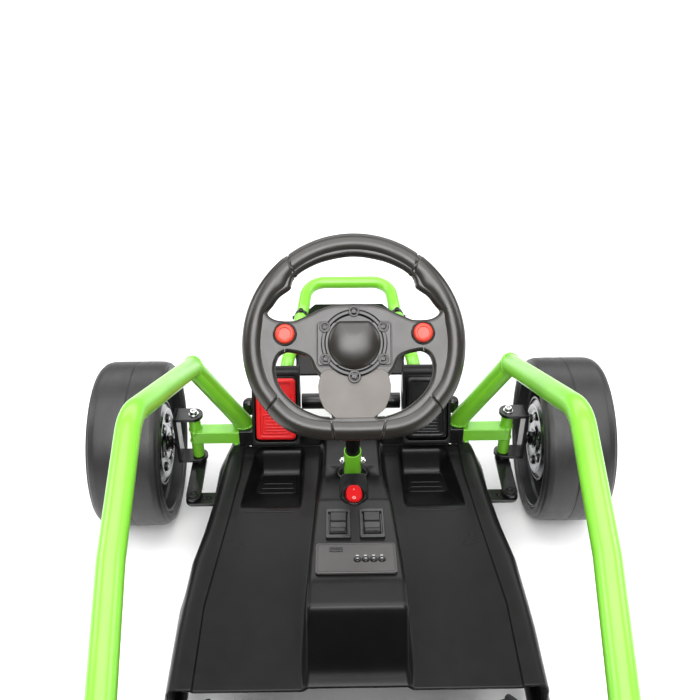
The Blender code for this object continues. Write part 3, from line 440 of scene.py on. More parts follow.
def tube_rings(path, radius, levels=(None, None), steps=48):
    """The rings of a mitred tube; an end may be cut level at a height."""
    legs = [(b - a).normalized() for a, b in zip(path, path[1:])]
    side = legs[0].orthogonal().normalized()
    rings = []
    for i, point in enumerate(path):
        along = legs[max(i - 1, 0)]
        ahead = legs[min(i, len(legs) - 1)]
        side = (side - along * side.dot(along)).normalized()
        up = along.cross(side)
        plane = (along + ahead).normalized()
        ring = []
        for k in range(steps):
            angle = TAU * k / steps
            out = radius * (cos(angle) * side + sin(angle) * up)
            ring.append(point + out - along * (out.dot(plane) / along.dot(plane)))
        rings.append(ring)
    for which, height in ((0, levels[0]), (-1, levels[1])):
        if height is not None:
            along = legs[which]
            rings[which] = [p + along * ((height - p.z) / along.z) for p in rings[which]]
    return rings


def bead(shape, ring, size=0.0016, ripple=0.0035):
    """The rippled rope of a weld along a closed ring."""
    loop = smooth_loop(ring, 4)
    middle = sum(loop, Vector()) / len(loop)
    run = 0.0
    rows = []
    for i, point in enumerate(loop):
        after = loop[(i + 1) % len(loop)]
        along = (after - loop[i - 1]).normalized()
        out = point - middle
        out = (out - along * out.dot(along)).normalized()
        up = along.cross(out)
        thick = size * (1.0 + 0.2 * sin(TAU * run / ripple))
        rows.append([point + thick * (cos(TAU * k / 10) * out + sin(TAU * k / 10) * up)
            for k in range(10)])
        run += (after - point).length
    return shape.torus(rows)


def tube(name, corners, bends, radius, finish, body="chassis", hides=(), levels=(None, None)):
    rings = tube_rings(bent_path(corners, bends), radius, levels)
    Shape().capped(rings).make(name, finish, body, hides)
    return rings


def bolt(shape, at, axis, radius, height, socket=0.45, depth=0.5):
    """A round button head with a socket, standing on a face."""
    line = [(0, height * (1 - depth)), (radius * socket, height * (1 - depth)), (radius * socket, height),
        (radius * 0.8, height), (radius, height * 0.45), (radius, 0), (0, 0)]
    return shape.turn(line, [0, 0.0001, 0.0003, 0.0006, 0.0008, 0, 0],
        line_frame(at, Vector(at) + Vector(axis)), 36)


def hexagon(shape, at, axis, across, height):
    """A hexagonal nut or head standing on a face."""
    outline = circle(across / sqrt(3), 6)
    base = line_frame(at, Vector(at) + Vector(axis))
    rows = []
    for inset, level in ((0, 0), (0, height * 0.82), (0.12, height)):
        rows.append([base @ Vector((x * (1 - inset), y * (1 - inset), level)) for x, y in outline])
    return shape.capped(rows)


# Sizes shared with the CAD frame, in metres

FRONT_Y, REAR_Y, AXLE_Z = 0.2595, -0.414, 0.1135
DECK_Y = FRONT_Y - 0.0095
GAP = 0.0003
KINGPIN_X = 0.2155
BEAM_Z, BEAM_HALF = 0.128, 0.01
LOW_Z, HIGH_Z, PLATE = 0.0855, 0.1595, 0.005
ARM_Z, ROD_Y, ROD_TOP, ROD_THICK = 0.0755, 0.1895, 0.0733, 0.005
WALL_X = KINGPIN_X + 0.0225
BAR_R, HOOP_R = 0.0127, 0.0094
SADDLE_X, SADDLE_TOP = 0.1348, 0.142
RAIL_TOP = 0.0627
PAN_HOLE_Z = 0.133
HUB = Vector((0, 0.11, 0.384))
TILT = radians(39.0)
OUT = Vector((0, -cos(TILT), sin(TILT)))
SWIVEL_DEPTH = 0.034
SWIVEL = HUB - OUT * SWIVEL_DEPTH
FOOT = Vector((0, DECK_Y - 0.0703, ARM_Z + 0.0188))
COLUMN_UP = (SWIVEL - FOOT).normalized()
COLUMN_LENGTH = (SWIVEL - FOOT).length
COLUMN_FRAME = frame_of(SWIVEL, COLUMN_UP)
CRANK_THICK, CRANK_ARM, CRANK_PIN_R = 0.005, 0.024, 0.004
CRANK_FRAME = shift(COLUMN_FRAME, z=-(COLUMN_LENGTH + GAP + CRANK_THICK))
PAN_CROSSING = SWIVEL + COLUMN_UP * ((PAN_HOLE_Z - SWIVEL.z) / COLUMN_UP.z)
BALL_R = 0.0155
BAR_FOOT_X, RAIL_Z, REAR_TUBE_Y = 0.2, 0.05, -0.4935
HOOP_FOOT_X, HOOP_FOOT_Y = 0.0915, DECK_Y + 0.0775
AXLE_END = 0.334
PEDAL_X = 0.1015
THUMB_X, THUMB_Y = 0.0738, 0.0104
RIM_OUT, RIM_R, WHEEL_FLAT = 0.1205, 0.0125, 0.104
TYRE_IN_X, TYRE_WIDE = 0.247, 0.095


def deck(y, z, x=0.0):
    return Vector((x, DECK_Y + y, z))


# Steering wheel

UPPER_WINDOW = ((0, 0.354), (0.164, 0.346), (0.282, 0.315), (0.379, 0.268), (0.476, 0.226),
    (0.539, 0.205), (0.661, 0.208), (0.729, 0.231), (0.766, 0.268), (0.763, 0.305), (0.676, 0.417),
    (0.571, 0.491), (0.552, 0.543), (0.524, 0.605), (0.42, 0.68), (0.25, 0.75), (0, 0.789))
LOWER_WINDOW = ((0.357, -0.231), (0.417, -0.122), (0.573, -0.075), (0.642, -0.09), (0.682, -0.134),
    (0.702, -0.223), (0.676, -0.349), (0.603, -0.461), (0.476, -0.569), (0.32, -0.638), (0.201, -0.656),
    (0.268, -0.55), (0.32, -0.389), (0.305, -0.308))
SEAMS = (
    # outer end and inner end of each line across the rim: two right, two left, two below
    ((0.0705, 0.0960), (0.0642, 0.0727)),
    ((0.0928, -0.0710), (0.0777, -0.0530)),
    ((-0.0705, 0.0960), (-0.0642, 0.0727)),
    ((-0.0928, -0.0710), (-0.0777, -0.0530)),
    ((-0.0237, -0.1040), (-0.0237, -0.0800)),
    ((0.0305, -0.1040), (0.0305, -0.0800)),
)


def wheel_line(radius, flat, steps=36):
    """The D-shaped line of the rim in its own plane."""
    opening = acos(flat / radius)
    start, end = -pi / 2 + opening, 3 * pi / 2 - opening
    points = [Vector((radius * cos(start + (end - start) * i / steps),
        radius * sin(start + (end - start) * i / steps), 0)) for i in range(steps + 1)]
    loop = points + [points[-1].lerp(points[0], t) for t in (0.2, 0.4, 0.6, 0.8)]
    for _ in range(3):
        count = len(loop)
        loop = [(loop[i - 1] + loop[i] * 2 + loop[(i + 1) % count]) / 4 if loop[i].y < -0.5 * radius
            else loop[i] for i in range(count)]
    return loop


def even_loop(points, spacing):
    """The same closed line with points at even distances."""
    count = len(points)
    lengths = [(points[(i + 1) % count] - points[i]).length for i in range(count)]
    total = sum(lengths)
    wanted = round(total / spacing)
    out, i, run = [], 0, 0
    for k in range(wanted):
        goal = total * k / wanted
        while run + lengths[i] < goal:
            run += lengths[i]
            i += 1
        out.append(points[i].lerp(points[(i + 1) % count], (goal - run) / lengths[i]))
    return out, total


def near(loop, total, flat):
    """How far round the loop its point nearest to a flat point lies."""
    best = min(range(len(loop)), key=lambda i: (loop[i].xy - Vector(flat)).length)
    return total * best / len(loop)


def bump_at(run, centre, width, total):
    away = abs(run - centre)
    away = min(away, total - away)
    return exp(-(away / width) ** 2)


def wheel_rim(plane):
    """The padded rim: thicker grips with thumb lobes, and grooves where its parts meet."""
    fine = smooth_loop(wheel_line(RIM_OUT - RIM_R, WHEEL_FLAT - RIM_R), 8)
    loop, total = even_loop(fine, 0.0006)
    outer = [p * (RIM_OUT / (RIM_OUT - RIM_R)) for p in loop]
    inner = [p * ((RIM_OUT - 2 * RIM_R) / (RIM_OUT - RIM_R)) for p in loop]
    seams = [(near(outer, total, a), near(inner, total, b)) for a, b in SEAMS]
    thumbs = [near(inner, total, (sx * 0.0745, 0.061)) for sx in (1, -1)]
    thin = [near(inner, total, (sx * 0.09, 0.0315)) for sx in (1, -1)]
    tops = [sum(seams[i]) / 2 for i in (0, 2)]
    rows = []
    count = len(loop)
    for i, point in enumerate(loop):
        run = total * i / count
        along = (loop[(i + 1) % count] - loop[i - 1]).normalized()
        side = Vector((along.y, -along.x, 0))
        in_top = tops[0] < run < tops[1]
        thick = RIM_R * (0.955 if in_top else 1.0)
        lobe = sum(bump_at(run, t, 0.011, total) for t in thumbs)
        lobe -= 0.8 * sum(bump_at(run, t, 0.009, total) for t in thin)
        row = []
        for k in range(36):
            angle = TAU * k / 36
            c, s = cos(angle), sin(angle)
            inward = max(0.0, -c)
            groove = sum(bump_at(run, (a + b) / 2 + (a - b) / 2 * c, 0.0007, total) for a, b in seams)
            reach = thick + 0.0042 * lobe * inward ** 2 - 0.0017 * groove
            rise = Vector((0, 0, reach * (1.0 - 0.05 * inward) * s))
            row.append(plane @ (point + side * (reach * c) + rise))
        rows.append(row)
    Shape().torus(rows).make("wheel_rim", SATIN, "steering", ["steering_wheel"], sharp=60.0)


def steering_wheel():
    plane = frame_of(HUB, OUT)
    wheel_rim(plane)
    core = [p.xy for p in smooth_loop(wheel_line(RIM_OUT - RIM_R, WHEEL_FLAT - RIM_R), 5)]
    upper = [Vector(p) * RIM_OUT for p in UPPER_WINDOW]
    upper += mirrored(upper[1:-1])
    lower = [Vector(p) * RIM_OUT for p in LOWER_WINDOW]
    windows = [smooth_loop(line, 7) for line in (upper, lower, mirrored(lower))]
    plate("wheel_spokes", [core, *windows], -0.0085, 0.0092, 0.0042, plane, SATIN, "steering")

    back = Shape()
    back.turn([(0, -0.016), (0.0375, -0.016), (0.0375, 0.004), (0, 0.004)], 0.0015, plane, 72, 5)
    cavity = BALL_R + 2 * GAP
    rise = SWIVEL_DEPTH - 0.016 + 0.0015
    swivel = frame_of(SWIVEL, OUT)
    cup = [(0, rise), (0.0215, rise), (0.0215, 0)]
    cup += [(cavity * cos(t), cavity * sin(t)) for t in (pi / 2 * i / 12 for i in range(13))]
    back.lathe(cup, swivel, 56)
    back.make("wheel_back", DARK, "steering")

    for name, finish, size, corner, low, high, edge in (("hub_seat", DARK, (0.0812, 0.0486), 0.0044,
            -0.016, 0.0098, 0.0004), ("hub_plate", SATIN, (0.0788, 0.0462), 0.0036, 0.0, 0.0118, 0.001)):
        pad = Shape().prism(box_line(*size, corner, (0, -0.0009)), low, high, plane)
        pad.make(name, finish, "steering", bevel=edge)
    ring = rounded([(0, 0.004), (0.0362, 0.004), (0.0362, 0.0112), (0.0345, 0.0126), (0.0318, 0.0126),
        (0.0296, 0.0114), (0, 0.0114)], [0, 0, 0.0008, 0.0008, 0.0006, 0.0004, 0])
    Shape().lathe(ring, plane, 96).make("hub_ring", DARK, "steering")

    dome = []
    for i in range(96):
        angle = TAU * i / 96
        edge = 0.0282
        if sin(angle) > 0:
            edge = min(edge, 0.0233 / sin(angle))
        row = []
        for part, high in ((0, 0.0098), (0.15, 0.00975), (0.3, 0.0095), (0.45, 0.009), (0.6, 0.0082),
                (0.72, 0.0073), (0.82, 0.0062), (0.9, 0.0052), (0.955, 0.004), (0.985, 0.0028),
                (1, 0.001), (1, 0)):
            out = edge * part
            row.append(plane @ Vector((out * cos(angle), out * sin(angle), 0.012 + high)))
        dome.append(row)
    Shape().grid(dome, loop_rows=True).make("horn_pad", SATIN, "steering", ["hub_cap"], sharp=50)

    boss, screw = Shape(), Shape()
    for x, y, radius in ((0, 0.0337, 0.006), (0.0311, 0.017, 0.006), (-0.0311, 0.017, 0.006),
            (0.0308, -0.0172, 0.006), (-0.0308, -0.0172, 0.006), (0, -0.0358, 0.007)):
        spot = shift(plane, x, y)
        top = 0.0142
        line = [(radius, 0.002), (radius, top), (radius * 0.66, top), (radius * 0.6, top - 0.0028),
            (0, top - 0.0028)]
        boss.turn(line, [0, 0.0008, 0.0005, 0.0002, 0], spot, 40, 5)
        floor_z = top - 0.0027
        screw.turn([(radius * 0.5, floor_z), (radius * 0.5, floor_z + 0.0012), (0, floor_z + 0.0016)],
            [0, 0.0005, 0], spot, 28)
        for turn in (0.4, 0.4 + pi / 2):
            bar = box_line(radius * 0.62, 0.0009, 0.0002, steps=2)
            screw.prism(bar, floor_z + 0.001, floor_z + 0.0019, spot @ Matrix.Rotation(turn, 4, "Z"))
    boss.make("hub_bosses", SATIN, "steering")
    screw.make("hub_screws", DARK, "steering")

    collars = Shape()
    for side, sign in SIDES:
        spot = shift(plane, sign * THUMB_X, THUMB_Y)
        collars.turn([(0.0098, 0.008), (0.0129, 0.008), (0.0129, 0.0104), (0.0115, 0.0114),
            (0.0107, 0.0102), (0.0098, 0.0102), (0.0098, 0.008)], [0, 0, 0.0006, 0.0004, 0.0003, 0, 0],
            spot, 56)
        low = 0.0088
        cap = [(0, low + 0.0046), (0.0062, low + 0.0046), (0.007, low + 0.0055), (0.0092, low + 0.005),
            (0.0104, low + 0.003), (0.0104, low), (0, low)]
        button = Shape().turn(cap, [0, 0.0004, 0.0006, 0.002, 0.0012, 0, 0], spot, 56, 6)
        button.make(f"thumb_button_{side}", CORAL, "steering", [f"horn_button_{side}"])
        tail = [(sign * THUMB_X, -0.004), (sign * 0.0742, -0.0085)]
        collars.prism(slot_line(*tail, 0.00045, 6), 0.008, 0.00928, plane)
    collars.make("button_collars", DARK, "steering")

    half = [(0.03, -0.028), (0.0362, -0.0325), (0.0388, -0.0455), (0.0378, -0.058), (0.0325, -0.07),
        (0.02, -0.08)]
    radii = [0.003, 0.004, 0.014, 0.014, 0.014, 0.001]
    chin = fillet(half + mirrored(half), radii + radii[::-1], 5)
    # The chin's lighter colour is partly its lighter grey and partly painted sheen
    plate("wheel_chin", [chin], 0.004, 0.0098, 0.0008, plane, CHIN_WITH_PAINTED_SHEEN, "steering")


# Steering column

def column():
    top = COLUMN_FRAME
    ball = [(BALL_R * sin(t), BALL_R * cos(t)) for t in (pi * i / 36 for i in range(27))]
    neck = -sqrt(BALL_R ** 2 - 0.009 ** 2)
    ball = [p for p in ball if p[1] > neck] + [(0.009, neck), (0.009, 0.004 - COLUMN_LENGTH),
        (0, 0.004 - COLUMN_LENGTH)]
    Shape().lathe(ball, top, 48).make("column_shaft", BLACK, "column_body", ["steering_shaft"])
    mouth = 0.0853 - COLUMN_LENGTH
    line = rounded([(0.004, -COLUMN_LENGTH), (0.0111, -COLUMN_LENGTH), (0.0111, mouth), (0.0096, mouth),
        (0.0096, -0.08 + mouth)], [0, 0.0008, 0.0005, 0.0003, 0])
    Shape().lathe(line, top, 64).make("green_sleeve", LIME, "column_body", ["column_sleeve"])
    centre = top @ Vector((0, 0, mouth - 0.021))
    nuts = Shape()
    for sign in (-1, 1):
        face = centre + sideways(sign * 0.0109)
        nuts.turn([(0, 0), (0.0062, 0), (0.0062, 0.0011), (0, 0.0011)], 0.0003,
            line_frame(face, face + Vector((sign, 0, 0))), 36, 3)
        hexagon(nuts, face + sideways(sign * 0.001), (sign, 0, 0), 0.0078, 0.0034)
        nuts.rod(face, face + sideways(sign * 0.006), 0.0024, 0.0005, 24)
    nuts.make("sleeve_bolt", STEEL, "column_body", ["column_bolt"])
    crank = Shape().prism(slot_line((0, 0), (0, -CRANK_ARM), 0.0095), 0.0, CRANK_THICK, CRANK_FRAME)
    start = CRANK_FRAME @ Vector((0, -CRANK_ARM, 0.001))
    low = start + COLUMN_UP * ((ROD_TOP - ROD_THICK - 0.002 - start.z) / COLUMN_UP.z)
    crank.rod(low, start, CRANK_PIN_R, 0.0006, 28)
    crank.make("column_crank", BLACK, "column_body", ["steering_crank"], bevel=0.0007)
    ring = rounded([(0.0125, -0.008), (0.014, -0.0015), (0.0165, 0.0004), (0.018, 0.0014), (0.02, 0.0012),
        (0.0205, -0.002)], [0, 0.002, 0.0008, 0.001, 0.0008, 0], 5)
    Shape().lathe(ring, frame_of(PAN_CROSSING, (0, 0.22, 1)), 72).make("column_collar", DARK)


# Green tubes

def side_bars():
    for side, sign in SIDES:
        foot_x = sign * (SADDLE_X + 0.0135)
        corners = [Vector((sign * BAR_FOOT_X, REAR_Y + 0.085, RAIL_TOP)),
            Vector((sign * BAR_FOOT_X, REAR_Y + 0.085, 0.272)), deck(-0.394, 0.335, sign * 0.2155),
            deck(-0.242, 0.373, sign * 0.2225), deck(-0.02, 0.266, sign * 0.2025),
            Vector((foot_x, FRONT_Y + 0.006, SADDLE_TOP))]
        rings = tube(f"side_tube_{side}", corners, (0.06, 0.06, 0.06, 0), BAR_R, LIME, "chassis",
            [f"side_bar_{side}"], (RAIL_TOP + GAP, SADDLE_TOP + GAP))
        welds = Shape()
        bead(welds, rings[-2], 0.0013)
        bead(welds, rings[-1], 0.0016)
        bead(welds, rings[0], 0.0016)
        welds.make(f"side_welds_{side}", WELD)


def hoops():
    foot = RAIL_TOP + GAP
    welds = Shape()
    for end, left, bends in (("front", [Vector((-HOOP_FOOT_X, HOOP_FOOT_Y, foot)),
            Vector((-HOOP_FOOT_X, HOOP_FOOT_Y, 0.192)), deck(0.215, 0.2, -0.0705),
            deck(0.268, 0.216, -0.064)], (0.022, 0.06, 0.046)), ("rear",
            [Vector((-0.15, REAR_TUBE_Y, foot)), Vector((-0.15, REAR_TUBE_Y, 0.12)),
            Vector((-0.15, REAR_TUBE_Y - 0.0245, 0.19))], (0.03, 0.03))):
        rings = tube(f"{end}_hoop", left + mirrored(left), bends + bends[::-1], HOOP_R, LIME,
            hides=[f"{end}_bumper"], levels=(foot, foot))
        for ring in (rings[0], rings[-1]):
            bead(welds, ring, 0.0014)
    welds.make("hoop_welds", WELD)


# Front beam, knuckles and tie rod

def beam():
    under, over = BEAM_Z - BEAM_HALF, BEAM_Z + BEAM_HALF
    back, front = FRONT_Y - BEAM_HALF, FRONT_Y + BEAM_HALF
    half = KINGPIN_X + 0.0041
    bar = Shape().block((-half, back, under), (half, front, over))
    bar.make("beam_tube", LIME, "chassis", ["front_beam"], bevel=0.0016)
    middle = SADDLE_X + 0.002
    cover = Shape().block((-middle, back - 0.0006, under - 0.0006),
        (middle, front + 0.0006, over + 0.0001))
    cover.make("beam_cover", BLACK, bevel=0.0008)
    bushes, welds = Shape(), Shape()
    for sign in (-1, 1):
        x = sign * KINGPIN_X
        low, high = LOW_Z + PLATE + 2 * GAP, HIGH_Z - 2 * GAP
        bushes.rod((x, FRONT_Y, low), (x, FRONT_Y, high), 0.0082, 0.0006)
        for z in (under, over):
            ring = [Vector((x + p[0], FRONT_Y + p[1], z)) for p in circle(0.0084, 40)]
            bead(welds, ring, 0.0012, 0.003)
        welds.lathe([(0, 0.0026), (0.0022, 0.0022), (0.0036, 0.0008), (0.0038, -0.001)],
            frame_of((x + sign * 0.001, back, over), (0, -1, 1)), 24)
        lip = sorted((sign * 0.1575, sign * 0.1625))
        bushes.block((lip[0], FRONT_Y - 0.012, under - 0.0045), (lip[1], FRONT_Y + 0.008, under + 0.001))
    bushes.make("beam_bushes", LIME, bevel=0.0006)
    welds.make("beam_welds", WELD)
    for side, sign in SIDES:
        low_x, high_x = sorted((sign * SADDLE_X, sign * (SADDLE_X + 0.02)))
        sleeve = Shape().block((low_x, FRONT_Y - 0.0133, BEAM_Z - 0.006),
            (high_x, FRONT_Y + 0.0183, SADDLE_TOP))
        lip_top = BEAM_Z - 0.004
        sleeve.block((low_x, FRONT_Y - 0.0128, BEAM_Z - 0.0118), (high_x, FRONT_Y - 0.0103, lip_top))
        sleeve.make(f"saddle_{side}", BLACK, "chassis", [f"beam_saddle_{side}"], bevel=0.0011)


def knuckle(side, sign):
    body = f"knuckle_{side}_body"
    x, y, half = sign * KINGPIN_X, FRONT_Y, 0.0125
    wall_high = HIGH_Z + PLATE
    outer = sign * (WALL_X - half + 0.003)
    made = Shape()
    wall = sorted((sign * WALL_X, sign * (WALL_X + PLATE)))
    made.block((wall[0], y - half, LOW_Z), (wall[1], y + half, wall_high))
    for low in (LOW_Z, HIGH_Z):
        line = slot_line((x, y), (outer, y), half)
        far = sign * (WALL_X + 0.003)
        line = [p for p in line if sign * (p[0] - x) <= 0.0001]
        ends = [(far, y + half), (far, y - half)]
        order = sorted(line + ends, key=lambda p: atan2(p[1] - y, p[0] - (x + sign * 0.01)))
        made.prism(order, low, low + PLATE)
    arm = slot_line((x, y), (x, ROD_Y), 0.01)
    made.prism(arm, ARM_Z, ARM_Z + PLATE)
    made.make(f"knuckle_plates_{side}", BLACK, body, [f"knuckle_{side}"], bevel=0.0008)
    turned = Shape()
    turned.rod((x, y, ARM_Z + 0.001), (x, y, LOW_Z + 0.001), 0.0082, 0.0003)
    turned.rod((x, ROD_Y, ROD_TOP - ROD_THICK - 0.005), (x, ROD_Y, ARM_Z + PLATE + 0.0012), 0.004, 0.0006,
        28)
    start, end = Vector((sign * (WALL_X + 0.002), y, AXLE_Z)), Vector((sign * AXLE_END, y, AXLE_Z))
    turned.rod(start, end, 0.005, 0.0008, 32)
    turned.rod(start, start + sideways(sign * 0.0065), 0.0085, 0.0008, 36)
    hexagon(turned, end - sideways(sign * 0.009), (sign, 0, 0), 0.013, 0.006)
    ring = fillet([(0.0042, 0), (0.0075, 0), (0.0075, 0.0012), (0.0042, 0.0012)], 0.0003, 3)
    turned.ring(ring, Matrix.Translation((x, ROD_Y, ARM_Z + PLATE)), 36)
    turned.make(f"knuckle_turned_{side}", BLACK, body)
    weld = Shape()
    loop = [Vector((sign * WALL_X, y + p[0], AXLE_Z + p[1])) for p in circle(0.0075, 36)]
    bead(weld, [p + sideways(sign * PLATE) for p in loop], 0.001, 0.003)
    weld.make(f"knuckle_weld_{side}", BLACK, body)
    pin = Shape()
    bolt(pin, (x, y, wall_high + GAP + 0.0008), (0, 0, 1), 0.0056, 0.0046, 0.46, 0.55)
    washer = rounded([(0, 0), (0.0068, 0), (0.0068, 0.0009), (0, 0.0009)], 0.0003, 3)
    pin.lathe(washer, Matrix.Translation((x, y, wall_high + GAP)), 40)
    foot = ARM_Z - GAP
    hexagon(pin, (x, y, foot), (0, 0, -1), 0.0112, 0.006)
    pin.rod((x, y, foot - 0.006), (x, y, wall_high), 0.0039, 0.0005, 28)
    pin.make(f"kingpin_bolt_{side}", STEEL, body, [f"kingpin_{side}"])


def tie_rod():
    low, high = ROD_TOP - ROD_THICK, ROD_TOP
    bar = slot_line((-KINGPIN_X, ROD_Y), (KINGPIN_X, ROD_Y), 0.011)
    holes = [circle(0.0043, 32, (sign * KINGPIN_X, ROD_Y)) for sign in (-1, 1)]
    plate("rod_bar", [bar, *holes], low, high, 0.0007, Matrix(), BLACK, "tie_rod_body", ["tie_rod"])
    start = CRANK_FRAME @ Vector((0, -CRANK_ARM, 0))
    middle = ROD_TOP - ROD_THICK / 2
    pin_y = (start + COLUMN_UP * ((middle - start.z) / COLUMN_UP.z)).y
    half = CRANK_PIN_R + 0.0016
    tongue = slot_line((0, ROD_Y), (0, pin_y - 0.002), half + 0.011)
    slot = slot_line((0, pin_y - 0.003), (0, pin_y + 0.009), half)
    plate("rod_tongue", [tongue, slot], low + 0.00005, high - 0.00005, 0.0007, Matrix(), BLACK,
        "tie_rod_body")
    bolts, rings = Shape(), Shape()
    for sign in (-1, 1):
        for x in (0.2008, 0.1946):
            at = Vector((sign * x, ROD_Y + 0.0012, high))
            bolt(bolts, at, (0, 0, 1), 0.0028, 0.002, 0.5, 0.5)
            rings.turn([(0, 0), (0.0034, 0), (0.0034, 0.0007), (0, 0.0007)], 0.0002,
                Matrix.Translation(at), 30, 3)
    bolts.make("rod_bolts", BLACK, "tie_rod_body")
    rings.make("rod_washers", BLACK, "tie_rod_body")


# Floor pan

PAN_FRONT, PAN_REAR = -0.0014, -0.375
PAN_STATIONS = (
    # ahead of the deck's line, tunnel half width, tunnel top, well floor, half width,
    # and the outer edge of the well at its top and at its foot
    (-0.0014, 0.0360, 0.130, 0.114, 0.157, 0.1310, 0.1200),
    (-0.0100, 0.0360, 0.130, 0.114, 0.160, 0.1312, 0.1205),
    (-0.0210, 0.0360, 0.130, 0.090, 0.160, 0.1330, 0.1225),
    (-0.0260, 0.0362, 0.130, 0.083, 0.160, 0.1335, 0.1235),
    (-0.0600, 0.0372, 0.130, 0.083, 0.161, 0.1380, 0.1310),
    (-0.0850, 0.0390, 0.134, 0.096, 0.164, 0.1420, 0.1370),
    (-0.1150, 0.0410, 0.150, 0.110, 0.167, 0.1460, 0.1440),
    (-0.1700, 0.0440, 0.179, 0.110, 0.173, 0.1520, 0.1500),
    (-0.2700, 0.0500, 0.189, 0.110, 0.184, 0.1600, 0.1580),
    (-0.3000, 0.0510, 0.192, 0.110, 0.184, 0.1600, 0.1580),
    (-0.3320, 0.0520, 0.188, 0.110, 0.184, 0.1600, 0.1580),
    (-0.3600, 0.0520, 0.125, 0.110, 0.184, 0.1600, 0.1580),
    (-0.3750, 0.0520, 0.112, 0.110, 0.184, 0.1600, 0.1580),
)


def station_at(ahead, soft=0.0035):
    """The pan's sizes at a distance, with the kinks between stations softened."""
    total = [0] * 6
    for k in range(7):
        at = min(PAN_FRONT, max(PAN_REAR, ahead + soft * (k - 3) / 3))
        for front, back in zip(PAN_STATIONS, PAN_STATIONS[1:]):
            if front[0] >= at >= back[0]:
                part = (front[0] - at) / (front[0] - back[0])
                for i in range(6):
                    total[i] += (front[i + 1] + (back[i + 1] - front[i + 1]) * part) / 7
                break
    return total


SHOULDER = (
    # ahead of the deck's line, how far out and how low the rounded side reaches
    (-0.0014, 0.168, 0.090), (-0.05, 0.176, 0.083), (-0.10, 0.1805, 0.081),
    (-0.15, 0.187, 0.074), (-0.20, 0.196, 0.069), (-0.30, 0.2005, 0.066),
    (-0.375, 0.2005, 0.066),
)


def shoulder_at(ahead):
    for front, back in zip(SHOULDER, SHOULDER[1:]):
        if front[0] >= ahead >= back[0]:
            part = (front[0] - ahead) / (front[0] - back[0])
            return [front[i] + (back[i] - front[i]) * part for i in (1, 2)]
    return SHOULDER[-1][1:]


def pan_section(ahead):
    tunnel, top, well, half, edge, foot = station_at(ahead)
    rim = 0.114 if ahead > -0.02 else 0.11 + max(0.0, 0.004 + ahead * 0.03)
    rim = max(rim, well)
    reach, low = shoulder_at(ahead)
    line = [(0, top), (tunnel + 0.001, top), (tunnel + 0.006, rim), (0.066, rim), (0.0705, well),
        (foot, well), (edge, rim), (half - 0.0125, rim + 0.0001), (half - 0.0105, rim + 0.0024),
        (reach, rim + 0.004), (reach + 0.001, low)]
    radii = [0, 0.0065, 0.005, 0.003, 0.004, 0.004, 0.0022, 0.0015, 0.002, 0.022, 0]
    right = rounded(line, radii, 5)
    return [deck(ahead, z, x) for x, z in mirrored(right[1:]) + right]


def rib(shape, start, end, radius):
    """A low half-round rib with round ends lying on a face."""
    start, end = Vector(start), Vector(end)
    count, steps = 16, 8
    along = (end - start).normalized()
    side = along.cross(UP).normalized()
    up = side.cross(along)
    rows = []
    for i in range(count + 1):
        part = i / count
        point = start.lerp(end, part)
        from_end = min(part, 1 - part) * (end - start).length
        size = radius * sqrt(max(0.02, 1 - (1 - min(1.0, from_end / radius)) ** 2))
        rows.append([point + side * (size * cos(pi * k / steps)) + up * (0.8 * size * sin(pi * k / steps)
            - 0.0002) for k in range(steps + 1)])
    return shape.grid(rows)


def floor_pan():
    aheads = [PAN_FRONT - 0.0022 * i for i in range(170)] + [PAN_REAR]
    aheads = [a for a in aheads if a >= PAN_REAR]
    shell = Shape().grid([pan_section(a) for a in aheads])
    rough = shell.make("pan_rough", PAN, sharp=70)
    wall = rough.modifiers.new("wall", "SOLIDIFY")
    wall.thickness = 0.003
    wall.offset = -1.0
    cutter = Shape().lathe([(0, -0.03), (0.0165, -0.03), (0.0165, 0.03), (0, 0.03)],
        frame_of(PAN_CROSSING, COLUMN_UP), 64)
    tool = cutter.make("pan_cutter", PAN)
    hole = rough.modifiers.new("hole", "BOOLEAN")
    hole.operation = "DIFFERENCE"
    hole.solver = "EXACT"
    hole.object = tool
    seen = rough.evaluated_get(bpy.context.evaluated_depsgraph_get())
    mesh = bpy.data.meshes.new_from_object(seen)
    bpy.data.objects.remove(rough)
    bpy.data.objects.remove(tool)
    settle("pan_moulding", mesh, PAN, "chassis", ["floor_pan"])
    ribs, level = Shape(), 0.1101
    for sign in (-1, 1):
        for ahead, low_x, high_x, z in ((-0.0455, 0.08, 0.122, 0.0846), (-0.0545, 0.0785, 0.1245, 0.0846),
                (-0.064, 0.0775, 0.127, 0.0853)):
            rib(ribs, deck(ahead, z, sign * low_x), deck(ahead, z, sign * high_x), 0.0011)
        rib(ribs, deck(-0.122, level, sign * 0.074), deck(-0.122, level, sign * 0.139), 0.0012)
        mark = [(0.1435, -0.1635), (0.1515, -0.1665), (0.1415, -0.1825), (0.1335, -0.1795)]
        for i, start in enumerate(mark):
            end = mark[(i + 1) % 4]
            rib(ribs, deck(start[1], level, sign * start[0]), deck(end[1], level, sign * end[0]), 0.0008)
        tray = [(sign * 0.0755, -0.03), (sign * 0.0755, -0.072), (sign * 0.1325, -0.072),
            (sign * 0.1225, -0.03)]
        plate(f"well_tray_{'left' if sign < 0 else 'right'}", [fillet(tray, 0.006, 6)], 0.0815, 0.0845,
            0.0008, Matrix.Translation((0, DECK_Y, 0)), PAN)
    ribs.make("pan_ribs", PAN, sharp=60)


# Pedals and nose

